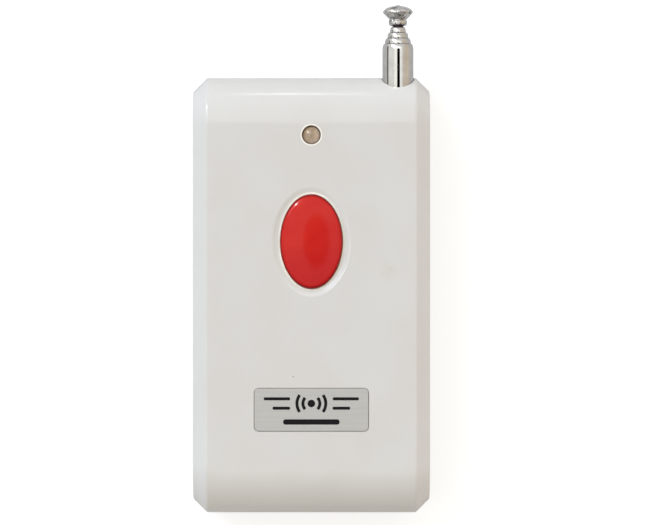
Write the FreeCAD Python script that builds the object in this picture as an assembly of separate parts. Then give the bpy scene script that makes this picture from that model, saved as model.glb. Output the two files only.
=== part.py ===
import FreeCAD, Part
import math
import os

# Wireless panic button: a pocket radio call button with a collapsed telescopic antenna.
# It lies on its back. X runs across it, Y towards the antenna and Z up out of the front face.
# The origin is the centre of the rear face, and every length is in millimetres.

Vector = FreeCAD.Vector
Rotation = FreeCAD.Rotation

# Housing
body_width = 38.0
body_length = 70.0
body_depth = 15.0
wall = 1.6
edge_chamfer = 2.2
edge_softness = 0.6
front_roll = 7.7
rear_round = 3.0
front_shell_depth = 8.2
seam_width = 0.24
seam_depth = 0.2
lip_height = 1.0
lip_thickness = 0.7
lip_clearance = 0.1
rib_root = 0.3
cut_margin = 1.0

# Push button
button_from_top = 26.34
cap_length = 15.1
cap_width = 10.0
cap_rise = 0.9
cap_dome = 0.45
cap_rim_round = 0.55
cap_rim_bands = 3
cap_dome_bands = 4
cap_wall = 1.1
cap_crown = 1.2
cap_clearance = 0.15
cap_hole_bevel = 0.15
cap_flange = 0.9
cap_flange_thickness = 0.9
cap_play = 0.05
cap_rib = 0.8
cap_rib_lift = 0.3
stem_radius = 1.9
stem_play = 0.05
collar_wall = 1.0
collar_depth = 2.4
dish_length = 17.7
dish_width = 12.8
dish_depth = 0.35
dish_slope_width = 1.35
dish_rim_round = 0.88

# Key switch under the button
switch_size = 6.0
switch_height = 3.5
switch_corner = 0.4
switch_well_radius = 2.25
switch_well_depth = 1.7
switch_cover_thickness = 0.25
switch_cover_margin = 0.1
plunger_radius = 1.75
plunger_clearance = 0.1
plunger_top = 5.0
plunger_flange_thickness = 0.85
plunger_flange_play = 0.05
plunger_nib_radius = 0.7
plunger_nib_height = 0.15
dome_rise = 0.3
dome_thickness = 0.1
dome_edge_gap = 0.12
dome_top_radius = 1.1
switch_leg_spacing = 4.5
switch_leg_width = 0.7
switch_leg_thickness = 0.25
switch_leg_lift = 0.8
switch_leg_root = 0.6
switch_leg_standout = 0.5

# Indicator lamp
led_from_top = 9.3
led_radius = 1.5
led_height = 5.3
led_rise = 0.3
led_flange = 0.4
led_flange_thickness = 1.0
led_clearance = 0.1
led_hole_bevel = 0.18
led_guide_wall = 1.0
led_guide_gap = 0.2
lead_pitch = 2.54
lead_width = 0.5
led_post_height = 2.6
led_cup_width = 1.3

# Label plate, let into the front face
label_from_bottom = 16.8
label_width = 18.2
label_height = 6.8
label_corner = 0.7
label_thickness = 0.35
label_recess = 0.3
label_margin = 0.1

# Telescopic antenna: each section is one step thinner than the last, and the innermost is a rod
antenna_side_inset = 5.1
antenna_front_inset = 5.55
antenna_standout = 5.4
outer_tube_diameter = 5.0
tube_diameter_drop = 0.8
tube_wall = 0.25
tube_count = 4
section_show = 0.9
rod_show = 0.2
shoulder_length = 1.0
shoulder_narrowing = 0.3
inner_shoulder_length = 0.45
inner_shoulder_narrowing = 0.16
lip_bore_clearance = 0.05
bush_length = 5.0
bush_clearance = 0.03
bush_seat = 0.01
bush_slot = 0.4
section_rest_gap = 0.3
foot_plug_length = 3.0
foot_flange_thickness = 0.6
foot_tab_width = 5.0
foot_tab_thickness = 1.2
foot_tab_reach = 7.2
foot_hole_inset = 2.6
foot_boss_gap = 3.3
foot_hole_radius = 1.15
foot_end_flat = 0.1
antenna_hole_clearance = 0.1
cradle_clearance = 0.05
cradle_thickness = 1.2
cradle_margin = 1.2
cradle_places = (5.0, 19.0)
saddle_height = 1.2
saddle_side_gap = 0.08
knob_diameter = 4.85
knob_height = 2.3
knob_crown = 1.2
knob_flat_radius = 0.9
knob_belt = 0.4
knob_shoulder_radius = 1.75
knob_shoulder_drop = 0.3
knob_neck_diameter = 3.0
knob_neck_length = 1.0
knob_socket = 2.0

# Battery, across the lower end, with its contacts
battery_from_bottom = 10.4
battery_lift = 1.05
battery_headroom = 0.45
battery_spring_room = 3.55
battery_side_gap = 0.5
battery_nub_radius = 2.2
battery_nub_height = 0.8
battery_edge_bevel = 0.35
battery_saddle_gap = 0.1
battery_saddle_spacing = 16.0
battery_saddle_thickness = 1.0
contact_thickness = 0.3
contact_gap = 0.05
contact_wall_gap = 0.45
contact_width = 7.0
contact_height = 7.0
contact_tail_height = 1.5
contact_foot_width = 1.0
contact_foot_reach = 1.5
contact_dimple = 1.2
contact_dimple_radius = 1.4
contact_dimple_slope = 0.8
spring_wire_radius = 0.3
spring_base_radius = 3.1
spring_tip_radius = 1.9
spring_turns = 3.0
spring_steps = 16
wire_sides = 8
partition_thickness = 0.9
partition_side_gap = 1.2
partition_foot_gap = 0.2

# Battery door, sliding out of the lower end on two side tongues
door_side_inset = 3.5
door_gap = 0.15
door_end_height = 3.0
door_end_length = 2.6
door_end_margin = 1.2
door_sink = 0.05
tongue_reach = 0.65
tongue_thickness = 0.8
tongue_play = 0.15
tongue_web = 0.8
tongue_end_inset = 1.0
rail_thickness = 0.8
latch_width = 8.0
latch_reach = 1.6
latch_root = 1.0
grip_count = 6
grip_pitch = 1.3
grip_radius = 0.4
grip_length = 12.0
door_rib_gap = 0.1
door_rib_width = 1.0
door_rib_spacing = 16.0

# Circuit board and case screws
board_thickness = 1.2
antenna_board_gap = 0.55
board_gap = 0.9
board_corner = 1.2
board_partition_gap = 1.0
pin_hole_clearance = 0.12
screw_inset_x = 3.6
screw_inset_y = 4.1
screw_from_board_end = 3.55
boss_antenna_gap = 1.8
boss_radius = 2.4
boss_floor = 1.2
post_radius = 3.2
screw_thread_radius = 1.1
screw_thread_length = 8.0
screw_tip_length = 0.8
screw_tip_radius = 0.5
screw_head_radius = 1.95
screw_head_height = 1.2
screw_head_seat = 2.6
head_bevel = 0.4
screw_pocket_clearance = 0.25
screw_hole_clearance = 0.2
thread_fit = 0.03
cross_width = 0.5
cross_length = 2.4
cross_depth = 0.7
gusset_thickness = 0.8
gusset_reach = 1.6
gusset_drop = 3.0

# Parts soldered to the board
lead_tail = 1.0
chip_pin_count = 8
chip_width = 7.5
chip_height = 2.3
chip_lift = 0.15
chip_end_margin = 1.0
chip_draft = 0.25
chip_notch_radius = 0.7
chip_pin_pitch = 1.27
chip_pin_width = 0.42
chip_pin_thickness = 0.25
chip_pin_knee = 0.55
chip_pin_row = 10.3
chip_x = -4.0
chip_y = -5.2
can_radius = 4.3
can_height = 3.4
can_flange = 0.35
can_flange_thickness = 0.4
can_side_inset = 6.3
can_from_board_end = 14.3
can_pin_radius = 0.22
can_pin_circle = 2.54
can_pin_count = 3
transistor_radius = 2.3
transistor_height = 4.5
transistor_lift = 1.2
transistor_flat = 0.8
transistor_pin_pitch = 1.27
transistor_pin_width = 0.4
transistor_led_offset = 5.2
transistor_led_drop = 4.0
choke_radius = 1.6
choke_core_radius = 1.25
choke_flange = 0.5
choke_height = 3.2
choke_antenna_gap = 0.9
choke_from_tube_foot = 13.4
chip_part_length = 2.0
chip_part_width = 1.25
chip_part_height = 0.8
chip_part_pitch = 2.6
capacitor_side_inset = 1.5
capacitor_button_rise = 2.34
capacitor_count = 4
resistor_row_x = 5.4
resistor_pitch = 3.12
resistor_count = 3
standoff_across_flats = 4.0
standoff_head_height = 1.2
standoff_head_radius = 1.9
standoff_thread_radius = 0.95
standoff_thread_length = 3.2

# Heights, ends and axes that follow from the sizes above
half_width = body_width / 2
half_length = body_length / 2
inner_half_width = half_width - wall
inner_top_end = half_length - wall
inner_front = body_depth - wall
parting_height = body_depth - front_shell_depth
lip_top = parting_height + lip_height
button_y = half_length - button_from_top
led_y = half_length - led_from_top
label_y = label_from_bottom - half_length
antenna_x = half_width - antenna_side_inset
antenna_z = body_depth - antenna_front_inset
board_top = antenna_z - outer_tube_diameter / 2 - antenna_board_gap
board_height = board_top - board_thickness
battery_radius = (body_depth - 2 * wall - battery_lift - battery_headroom) / 2
battery_y = battery_from_bottom - half_length
battery_z = wall + battery_lift + battery_radius
compartment_end = battery_y + battery_radius + battery_side_gap
partition_end = compartment_end + partition_thickness
board_lower_end = partition_end + board_partition_gap
board_upper_end = inner_top_end - board_gap
board_half_width = inner_half_width - board_gap
contact_outer_x = inner_half_width - contact_wall_gap
contact_inner_x = contact_outer_x - contact_thickness
battery_plus_x = contact_inner_x - contact_dimple - contact_gap
battery_minus_x = battery_spring_room - contact_inner_x
battery_length = battery_plus_x - battery_minus_x
door_half_width = half_width - door_side_inset
tongue_bottom = wall + tongue_play
tongue_top = tongue_bottom + tongue_thickness
rail_bottom = tongue_top + tongue_play
antenna_hole_radius = outer_tube_diameter / 2 + antenna_hole_clearance
boss_pilot_radius = screw_thread_radius + thread_fit
screw_hole_radius = screw_thread_radius + screw_hole_clearance
far = 2 * (body_width + body_length + body_depth)

upper_screw_y = inner_top_end - screw_inset_y
lower_screw_y = board_lower_end + screw_from_board_end
screw_side_x = inner_half_width - screw_inset_x
screw_by_antenna_x = antenna_x - outer_tube_diameter / 2 - boss_antenna_gap - boss_radius
screw_places = (
    (-screw_side_x, upper_screw_y),
    (screw_by_antenna_x, upper_screw_y),
    (-screw_side_x, lower_screw_y),
    (screw_side_x, lower_screw_y),
)

outer_tube_top = half_length + antenna_standout
tab_end = lower_screw_y + boss_radius + foot_boss_gap
foot_hole_y = tab_end + foot_hole_inset
foot_flange_low = tab_end + foot_tab_reach
outer_tube_foot = foot_flange_low + foot_flange_thickness

chip_length = (chip_pin_count - 1) * chip_pin_pitch + 2 * chip_end_margin
can_x = can_side_inset - board_half_width
can_y = board_upper_end - can_from_board_end
transistor_x = transistor_led_offset
transistor_y = led_y - transistor_led_drop
choke_x = antenna_x - outer_tube_diameter / 2 - choke_antenna_gap - choke_radius
choke_y = outer_tube_foot + choke_from_tube_foot
capacitor_x = capacitor_side_inset - board_half_width
capacitor_y = button_y + capacitor_button_rise
resistor_y = (board_lower_end + chip_y - chip_pin_row / 2 - chip_part_width) / 2

# Directions that a turned or extruded piece can be laid along
upright = Rotation()
lengthwise = Rotation(Vector(1, 0, 0), -90)
crosswise = Rotation(Vector(0, 1, 0), 90)


def rounded_wire(corners, radii):
    """A closed wire through the corners, each rounded by its own radius, or sharp where it is 0."""
    count = len(corners)
    tangents = []
    edges = []
    for index, corner in enumerate(corners):
        back = (corners[index - 1] - corner).normalize()
        onward = (corners[(index + 1) % count] - corner).normalize()
        half_angle = back.getAngle(onward) / 2
        radius = radii[index]
        reach = radius / math.tan(half_angle)
        start = corner + back * reach
        end = corner + onward * reach
        tangents.append((start, end))
        if radius > 0:
            bisector = (back + onward).normalize()
            middle = corner + bisector * (radius / math.sin(half_angle) - radius)
            edges.append(Part.Arc(start, middle, end).toShape())
    for index in range(count):
        start = tangents[index][1]
        end = tangents[(index + 1) % count][0]
        if start.distanceToPoint(end) > 1e-7:
            edges.append(Part.LineSegment(start, end).toShape())
    return Part.Wire(Part.sortEdges(edges)[0])


def placed(shape, position, direction=upright):
    """The shape turned to a direction, then moved to a position."""
    shape.Placement = FreeCAD.Placement(position, direction)
    return shape


def sharp_face(points):
    """A flat face with straight edges between the points."""
    return Part.Face(rounded_wire(points, [0] * len(points)))


def turned(corners, position, direction=upright, rounding=None):
    """A solid turned from corners given as (radius, distance along the axis), sharp unless rounded.

    The rounding gives a radius for a corner, by its place in the list.
    """
    points = [Vector(radius, 0, height) for radius, height in corners]
    radii = [0] * len(points)
    for index, radius in (rounding or {}).items():
        radii[index] = radius
    face = Part.Face(rounded_wire(points, radii))
    return placed(face.revolve(Vector(0, 0, 0), Vector(0, 0, 1), 360), position, direction)


def rounded_plate(x_range, y_range, z_range, corner):
    """A flat plate with its four upright edges rounded."""
    corners = [
        Vector(x_range[0], y_range[0], z_range[0]),
        Vector(x_range[1], y_range[0], z_range[0]),
        Vector(x_range[1], y_range[1], z_range[0]),
        Vector(x_range[0], y_range[1], z_range[0]),
    ]
    face = Part.Face(rounded_wire(corners, [corner] * 4))
    return face.extrude(Vector(0, 0, z_range[1] - z_range[0]))


def block(x_range, y_range, z_range):
    """A plain box between three pairs of limits."""
    size = [limits[1] - limits[0] for limits in (x_range, y_range, z_range)]
    return Part.makeBox(size[0], size[1], size[2], Vector(x_range[0], y_range[0], z_range[0]))


def rod_up(x, y, z_range, radius):
    """A round bar that stands upright."""
    return Part.makeCylinder(radius, z_range[1] - z_range[0], Vector(x, y, z_range[0]))


def rod_along(x, z, y_range, radius):
    """A round bar that runs towards the antenna end."""
    return Part.makeCylinder(radius, y_range[1] - y_range[0], Vector(x, y_range[0], z), Vector(0, 1, 0))


def oval_wire(half_x, half_y, z):
    """A level oval round the push button's axis."""
    centre = Vector(0, button_y, z)
    edge = Part.Ellipse(centre + Vector(0, half_y, 0), centre + Vector(half_x, 0, 0), centre)
    return Part.Wire([edge.toShape()])


def oval(half_x, half_y, z_range):
    """An oval prism centred on the push button, longer towards the antenna end than across."""
    base = Part.Face(oval_wire(half_x, half_y, z_range[0]))
    return base.extrude(Vector(0, 0, z_range[1] - z_range[0]))


def slab(z_range):
    """Everything between two heights."""
    return block((-far, far), (-far, far), z_range)


def in_plane_edges(shape):
    """The edges that lie square to X, which are those round the two ends of a crosswise extrusion."""
    return [edge for edge in shape.Edges if edge.BoundBox.XLength < 1e-6]


def housing_block(inset, softness=0.0):
    """The housing's outer form, moved inwards all round by the inset.

    A side profile with large rolls at the front is extruded across, and one chamfer runs round each
    end of that extrusion, so it makes the side facets and the cut corners alike.
    """
    end = half_length - inset
    side = half_width - inset
    corners = [
        Vector(-side, -end, body_depth - inset),
        Vector(-side, end, body_depth - inset),
        Vector(-side, end, inset),
        Vector(-side, -end, inset),
    ]
    radii = [front_roll - inset] * 2 + [rear_round - inset] * 2
    body = Part.Face(rounded_wire(corners, radii)).extrude(Vector(2 * side, 0, 0))
    chamfer = edge_chamfer - inset * (2 - math.sqrt(2))
    body = body.makeChamfer(chamfer, in_plane_edges(body))
    if softness > 0:
        body = body.makeFillet(softness, in_plane_edges(body))
    return body


def housing_wall():
    """The whole housing as a closed shell, before it is parted."""
    return housing_block(0, edge_softness).cut(housing_block(wall))


def seam():
    """The shadow line between the two covers."""
    ring = housing_block(-wall).cut(housing_block(seam_depth))
    return ring.common(slab((parting_height - seam_width / 2, parting_height + seam_width / 2)))


def lip_ring(inset, z_range):
    """A band just outside the cavity, for the lip of one cover or the rebate of the other."""
    return housing_block(inset).cut(housing_block(wall)).common(slab(z_range))


def rib_space():
    """Where the front cover's ribs may be: clear of the rear cover below its rebate."""
    rebate_top = lip_top + lip_clearance
    upper = housing_block(wall - rib_root).common(slab((rebate_top, far)))
    return housing_block(wall + lip_clearance).fuse(upper)


def dish():
    """The shallow oval dish round the button, with an S-shaped bank that starts and ends level."""
    outer = dish_length / 2
    inner = outer - dish_slope_width
    floor = body_depth - dish_depth
    slope = 2 * math.atan(dish_depth / dish_slope_width)
    floor_round = dish_slope_width / math.sin(slope) - dish_rim_round

    def on_floor_arc(angle):
        return Vector(inner + floor_round * math.sin(angle), 0, floor + floor_round * (1 - math.cos(angle)))

    def on_rim_arc(angle):
        drop = dish_rim_round * (1 - math.cos(angle))
        return Vector(outer - dish_rim_round * math.sin(angle), 0, body_depth - drop)

    above = body_depth + wall
    edges = [
        Part.LineSegment(Vector(0, 0, floor), on_floor_arc(0)).toShape(),
        Part.Arc(on_floor_arc(0), on_floor_arc(slope / 2), on_floor_arc(slope)).toShape(),
        Part.Arc(on_rim_arc(slope), on_rim_arc(slope / 2), on_rim_arc(0)).toShape(),
        Part.LineSegment(on_rim_arc(0), Vector(outer, 0, above)).toShape(),
        Part.LineSegment(Vector(outer, 0, above), Vector(0, 0, above)).toShape(),
        Part.LineSegment(Vector(0, 0, above), Vector(0, 0, floor)).toShape(),
    ]
    round_dish = Part.Face(Part.Wire(edges)).revolve(Vector(0, 0, 0), Vector(0, 0, 1), 360)
    return across_scaled(round_dish, dish_width / dish_length)


def across_scaled(shape, ratio):
    """A turned shape squeezed across X into an oval, and moved to the button."""
    matrix = FreeCAD.Matrix()
    matrix.scale(ratio, 1, 1)
    oval_shape = shape.transformGeometry(matrix)
    oval_shape.translate(Vector(0, button_y, 0))
    return oval_shape


def cap_hole():
    """The oval hole for the cap, with a small bevel at the dish's floor."""
    half_x = cap_width / 2 + cap_clearance
    half_y = cap_length / 2 + cap_clearance
    mouth_x = half_x + cap_hole_bevel
    mouth_y = half_y + cap_hole_bevel
    floor = body_depth - dish_depth
    bevel_ends = [oval_wire(half_x, half_y, floor - cap_hole_bevel), oval_wire(mouth_x, mouth_y, floor)]
    bevel = Part.makeLoft(bevel_ends, True)
    mouth = oval(mouth_x, mouth_y, (floor, body_depth + cut_margin))
    return oval(half_x, half_y, (inner_front - cap_play, body_depth + cut_margin)).fuse([bevel, mouth])


def button_collar():
    """The oval guide inside the front cover, round the button's flange."""
    z_range = (inner_front - collar_depth, inner_front + rib_root)
    inner = cap_flange + cap_clearance
    outer = inner + collar_wall
    ring = oval(cap_width / 2 + outer, cap_length / 2 + outer, z_range)
    return ring.cut(oval(cap_width / 2 + inner, cap_length / 2 + inner, z_range))


def led_guide():
    """The short sleeve inside the front cover that centres the lamp."""
    base = led_base() + led_flange_thickness + led_guide_gap
    outer = led_radius + led_clearance + led_guide_wall
    return rod_up(0, led_y, (base, inner_front + rib_root), outer)


def led_base():
    """Height of the underside of the lamp's flange."""
    return body_depth + led_rise - led_height


def screw_boss(x, y):
    """A boss that the case screw bites into, with two gussets to the front wall."""
    boss = rod_up(x, y, (board_top, inner_front + rib_root), boss_radius)
    reach = boss_radius + gusset_reach
    low = inner_front - gusset_drop
    gussets = []
    for direction in (-1, 1):
        corners = [
            Vector(x - gusset_thickness / 2, y, low),
            Vector(x - gusset_thickness / 2, y + direction * boss_radius, low),
            Vector(x - gusset_thickness / 2, y + direction * reach, inner_front),
            Vector(x - gusset_thickness / 2, y + direction * reach, inner_front + rib_root),
            Vector(x - gusset_thickness / 2, y, inner_front + rib_root),
        ]
        gussets.append(sharp_face(corners).extrude(Vector(gusset_thickness, 0, 0)))
    return boss.fuse(gussets)


def antenna_cradle(y):
    """A rib with a half-round seat that holds the antenna's outer tube down."""
    reach = outer_tube_diameter / 2 + cradle_margin
    far_face = y + cradle_thickness
    rib = block((antenna_x - reach, half_width), (y, far_face), (antenna_z, inner_front + rib_root))
    seat = outer_tube_diameter / 2 + cradle_clearance
    return rib.cut(rod_along(antenna_x, antenna_z, (y - cut_margin, far_face + cut_margin), seat))


def battery_saddle(x):
    """A rib with a half-round seat above the battery."""
    far_face = x + battery_saddle_thickness
    rib = block((x, far_face), (-half_length, compartment_end), (battery_z, inner_front + rib_root))
    seat = battery_radius + battery_saddle_gap
    start = Vector(x - cut_margin, battery_y, battery_z)
    length = battery_saddle_thickness + 2 * cut_margin
    return rib.cut(Part.makeCylinder(seat, length, start, Vector(1, 0, 0)))


def partition():
    """The wall between the battery and the circuit board, short of the contacts at each side."""
    side = inner_half_width - partition_side_gap
    low = tongue_top + partition_foot_gap
    return block((-side, side), (compartment_end, partition_end), (low, inner_front + rib_root))


def antenna_notch():
    """The U-shaped notch in the rolled top wall that the antenna passes through."""
    y_range = (half_length - front_roll, half_length + wall)
    low = block(
        (antenna_x - antenna_hole_radius, antenna_x + antenna_hole_radius),
        y_range,
        (parting_height - wall, antenna_z),
    )
    return rod_along(antenna_x, antenna_z, y_range, antenna_hole_radius).fuse(low)


def label_pocket():
    """The shallow pocket for the label plate."""
    x_reach = label_width / 2 + label_margin
    y_reach = label_height / 2 + label_margin
    return rounded_plate(
        (-x_reach, x_reach),
        (label_y - y_reach, label_y + y_reach),
        (body_depth - label_recess, body_depth + label_recess),
        label_corner + label_margin,
    )


def led_hole():
    """The lamp's hole, with a small bevel at the face."""
    radius = led_radius + led_clearance
    height = 2 * led_hole_bevel
    foot = Vector(0, led_y, body_depth - led_hole_bevel)
    bevel = Part.makeCone(radius, radius + height, height, foot)
    return rod_up(0, led_y, (led_base(), body_depth + cut_margin), radius).fuse(bevel)


def front_cover():
    """The moulded front: the visible face with its rolls, and all the ribs behind it."""
    ribs = [button_collar(), led_guide(), partition()]
    ribs += [screw_boss(x, y) for x, y in screw_places]
    ribs += [antenna_cradle(outer_tube_foot + place) for place in cradle_places]
    for side in (-1, 1):
        centre = (battery_plus_x + battery_minus_x) / 2 + side * battery_saddle_spacing / 2
        ribs.append(battery_saddle(centre - battery_saddle_thickness / 2))
    inner = ribs[0].fuse(ribs[1:]).common(rib_space())

    cover = housing_wall().common(slab((parting_height, far))).fuse(inner)
    rebate_z = (parting_height - cut_margin, lip_top + lip_clearance)
    rebate = lip_ring(wall - lip_thickness - lip_clearance, rebate_z)
    openings = [
        rebate,
        seam(),
        dish(),
        cap_hole(),
        led_hole(),
        label_pocket(),
        antenna_notch(),
    ]
    for x, y in screw_places:
        openings.append(rod_up(x, y, (board_top - cut_margin, inner_front - boss_floor), boss_pilot_radius))
    return cover.cut(openings).removeSplitter()


def antenna_saddle():
    """The tongue of the rear cover that closes the notch under the antenna."""
    side = antenna_hole_radius - saddle_side_gap
    fill = block(
        (antenna_x - side, antenna_x + side),
        (inner_top_end - wall, half_length + wall),
        (parting_height - rib_root, parting_height + saddle_height),
    )
    hole = rod_along(antenna_x, antenna_z, (inner_top_end - wall, half_length + wall), antenna_hole_radius)
    return housing_wall().common(fill).cut(hole)


def screw_post(x, y):
    """A post under the circuit board, around the case screw's pocket."""
    return rod_up(x, y, (wall - rib_root, board_height), post_radius)


def screw_pocket(x, y):
    """The counterbored hole for one case screw, open at the rear face."""
    pocket = rod_up(x, y, (-cut_margin, screw_head_seat), screw_head_radius + screw_pocket_clearance)
    return pocket.fuse(rod_up(x, y, (0, board_height + cut_margin), screw_hole_radius))


def door_rail(side):
    """A rail inside the rear cover that keeps one of the door's tongues down."""
    near = door_half_width + door_gap
    x_range = sorted((side * near, side * half_width))
    return block(x_range, (-half_length, compartment_end), (rail_bottom, rail_bottom + rail_thickness))


def door_opening():
    """The opening for the battery door: a floor panel, and a wider piece of the end wall."""
    panel_side = door_half_width + door_gap
    end_side = door_half_width + door_end_margin + door_gap
    end_limit = door_end_length - half_length + door_gap
    panel = block((-panel_side, panel_side), (-far, compartment_end + door_gap), (-cut_margin, wall))
    inside_limit = wall + rear_round - half_length
    inside = block((-panel_side, panel_side), (-far, inside_limit), (-cut_margin, door_end_height))
    end = block((-end_side, end_side), (-far, end_limit), (-cut_margin, door_end_height + door_gap))
    return panel.fuse([inside, end])


def rear_cover():
    """The moulded back: screw posts, door rails, the locating lip and the antenna saddle."""
    shell = housing_wall().common(slab((-cut_margin, parting_height)))
    ribs = [screw_post(x, y) for x, y in screw_places]
    ribs += [door_rail(side) for side in (-1, 1)]
    inner = ribs[0].fuse(ribs[1:]).common(housing_block(wall - rib_root))

    lip = lip_ring(wall - lip_thickness, (parting_height - rib_root, lip_top)).cut(antenna_notch())
    cover = shell.fuse([inner, lip, antenna_saddle()])
    openings = [door_opening(), seam()]
    openings += [screw_pocket(x, y) for x, y in screw_places]
    return cover.cut(openings).removeSplitter()


def battery_door():
    """The sliding door: a panel with side tongues, a latch tab, grip grooves and a piece of end wall."""
    half = door_half_width
    end_side = half + door_end_margin
    outer = housing_block(door_sink)
    floor = outer.common(block((-half, half), (-far, compartment_end), (-cut_margin, wall)))
    end_limit = door_end_length - half_length
    end_box = block((-end_side, end_side), (-far, end_limit), (-cut_margin, door_end_height))
    end = outer.cut(housing_block(wall)).common(end_box)

    web_y = (tongue_end_inset + wall - half_length, compartment_end - tongue_end_inset)
    details = [end]
    for side in (-1, 1):
        web_x = sorted((side * (half - tongue_web), side * half))
        tongue_x = sorted((side * (half - tongue_web), side * (half + tongue_reach)))
        details.append(block(web_x, web_y, (wall / 2, tongue_top)))
        details.append(block(tongue_x, web_y, (tongue_bottom, tongue_top)))
    latch_x = (-latch_width / 2, latch_width / 2)
    latch_y = (compartment_end - latch_root, compartment_end + latch_reach)
    details.append(block(latch_x, (latch_y[0], compartment_end), (wall / 2, tongue_top)))
    details.append(block(latch_x, latch_y, (tongue_bottom, tongue_top)))
    battery_middle = (battery_plus_x + battery_minus_x) / 2
    for side in (-1, 1):
        rib_x = battery_middle + side * door_rib_spacing / 2
        rib_range = (rib_x - door_rib_width / 2, rib_x + door_rib_width / 2)
        details.append(block(rib_range, web_y, (wall / 2, wall + battery_lift - door_rib_gap)))
    door = floor.fuse(details)

    grooves = []
    for index in range(grip_count):
        y = battery_y + (index - (grip_count - 1) / 2) * grip_pitch
        start = Vector(-grip_length / 2, y, door_sink)
        grooves.append(Part.makeCylinder(grip_radius, grip_length, start, Vector(1, 0, 0)))
    return door.cut(grooves).removeSplitter()


def cap_sections(flange_bottom):
    """The ovals that the cap's outside runs through, from its foot over the rim to the crown."""
    edge = body_depth + cap_rise - cap_dome
    half_x = cap_width / 2
    half_y = cap_length / 2
    sections = [oval_wire(half_x, half_y, flange_bottom)]
    for step in range(cap_rim_bands + 1):
        angle = math.pi / 2 * step / cap_rim_bands
        inset = cap_rim_round * (1 - math.cos(angle))
        height = edge - cap_rim_round * (1 - math.sin(angle))
        sections.append(oval_wire(half_x - inset, half_y - inset, height))
    for step in range(1, cap_dome_bands):
        share = 1 - step / cap_dome_bands
        rise = cap_dome * (1 - share * share)
        crown_x = share * (half_x - cap_rim_round)
        crown_y = share * (half_y - cap_rim_round)
        sections.append(oval_wire(crown_x, crown_y, edge + rise))
    return sections


def button_cap():
    """The red oval push button: a hollow dome with a flange, a stem and cross ribs."""
    half_x = cap_width / 2
    half_y = cap_length / 2
    flange_top = inner_front - cap_play
    flange_bottom = flange_top - cap_flange_thickness
    cap = Part.makeLoft(cap_sections(flange_bottom), True, True)
    flange = oval(half_x + cap_flange, half_y + cap_flange, (flange_bottom, flange_top))

    ceiling = body_depth + cap_rise - cap_dome - cap_crown
    hollow_x = half_x - cap_wall
    hollow_y = half_y - cap_wall
    hollow = oval(hollow_x, hollow_y, (flange_bottom - cut_margin, ceiling))
    rib_z = (flange_bottom + cap_rib_lift, ceiling + cap_rib_lift)
    rib_x = hollow_x + cap_rib_lift
    rib_y = hollow_y + cap_rib_lift
    half_rib = cap_rib / 2
    stem_end = board_top + plunger_top + stem_play
    middle = [
        rod_up(0, button_y, (stem_end, ceiling + cap_rib_lift), stem_radius),
        block((-rib_x, rib_x), (button_y - half_rib, button_y + half_rib), rib_z),
        block((-half_rib, half_rib), (button_y - rib_y, button_y + rib_y), rib_z),
    ]
    return cap.fuse(flange).cut(hollow).fuse(middle).removeSplitter()


def label_plate():
    """The thin aluminium plate in the front face's pocket."""
    low = body_depth - label_recess
    return rounded_plate(
        (-label_width / 2, label_width / 2),
        (label_y - label_height / 2, label_y + label_height / 2),
        (low, low + label_thickness),
        label_corner,
    )


def switch_base():
    """The key switch's moulded base, with the well that its snap dome lies in."""
    half = switch_size / 2
    top = board_top + switch_height
    body = rounded_plate(
        (-half, half),
        (button_y - half, button_y + half),
        (board_top, top),
        switch_corner,
    )
    well = rod_up(0, button_y, (top - switch_well_depth, top + cut_margin), switch_well_radius)
    return body.cut([well, switch_legs()])


def switch_cover():
    """The steel plate over the switch, which keeps the plunger in."""
    half = switch_size / 2 - switch_cover_margin
    low = board_top + switch_height
    plate = rounded_plate(
        (-half, half),
        (button_y - half, button_y + half),
        (low, low + switch_cover_thickness),
        switch_corner,
    )
    return plate.cut(rod_up(0, button_y, (board_top, body_depth), plunger_radius + plunger_clearance))


def switch_plunger():
    """The switch's moving plunger, with the flange that the cover holds in."""
    flange_top = switch_height - plunger_flange_play
    flange_bottom = flange_top - plunger_flange_thickness
    flange_radius = switch_well_radius - plunger_clearance
    corners = [
        (0, flange_bottom - plunger_nib_height),
        (plunger_nib_radius, flange_bottom - plunger_nib_height),
        (plunger_nib_radius, flange_bottom),
        (flange_radius, flange_bottom),
        (flange_radius, flange_top),
        (plunger_radius, flange_top),
        (plunger_radius, plunger_top),
        (0, plunger_top),
    ]
    return turned(corners, Vector(0, button_y, board_top))


def switch_dome():
    """The thin snap dome in the switch's well: a flat crown on a sloping skirt."""
    radius = switch_well_radius - dome_edge_gap
    corners = [
        (radius - dome_thickness, 0),
        (radius, 0),
        (dome_top_radius, dome_rise),
        (0, dome_rise),
        (0, dome_rise - dome_thickness),
        (dome_top_radius - dome_thickness, dome_rise - dome_thickness),
    ]
    return turned(corners, Vector(0, button_y, board_top + switch_height - switch_well_depth))


def bent_strip(corners, width, start, direction):
    """A strip of metal with a bent outline in the XZ plane, of a given width along Y."""
    points = [start + Vector(direction * x, 0, z) for x, z in corners]
    return sharp_face(points).extrude(Vector(0, width, 0))


def switch_legs():
    """Four bent legs that leave the switch's sides and go down through the board."""
    inner = switch_size / 2 - switch_leg_root
    outer = switch_size / 2 + switch_leg_standout
    thick = switch_leg_thickness
    low = -board_thickness - lead_tail
    lift = switch_leg_lift
    corners = [
        (inner, lift),
        (outer - thick, lift),
        (outer - thick, low),
        (outer, low),
        (outer, lift + thick),
        (inner, lift + thick),
    ]
    legs = []
    for direction in (-1, 1):
        for row in (-1, 1):
            y = button_y + row * switch_leg_spacing / 2 - switch_leg_width / 2
            legs.append(bent_strip(corners, switch_leg_width, Vector(0, y, board_top), direction))
    return Part.makeCompound(legs)


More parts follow.
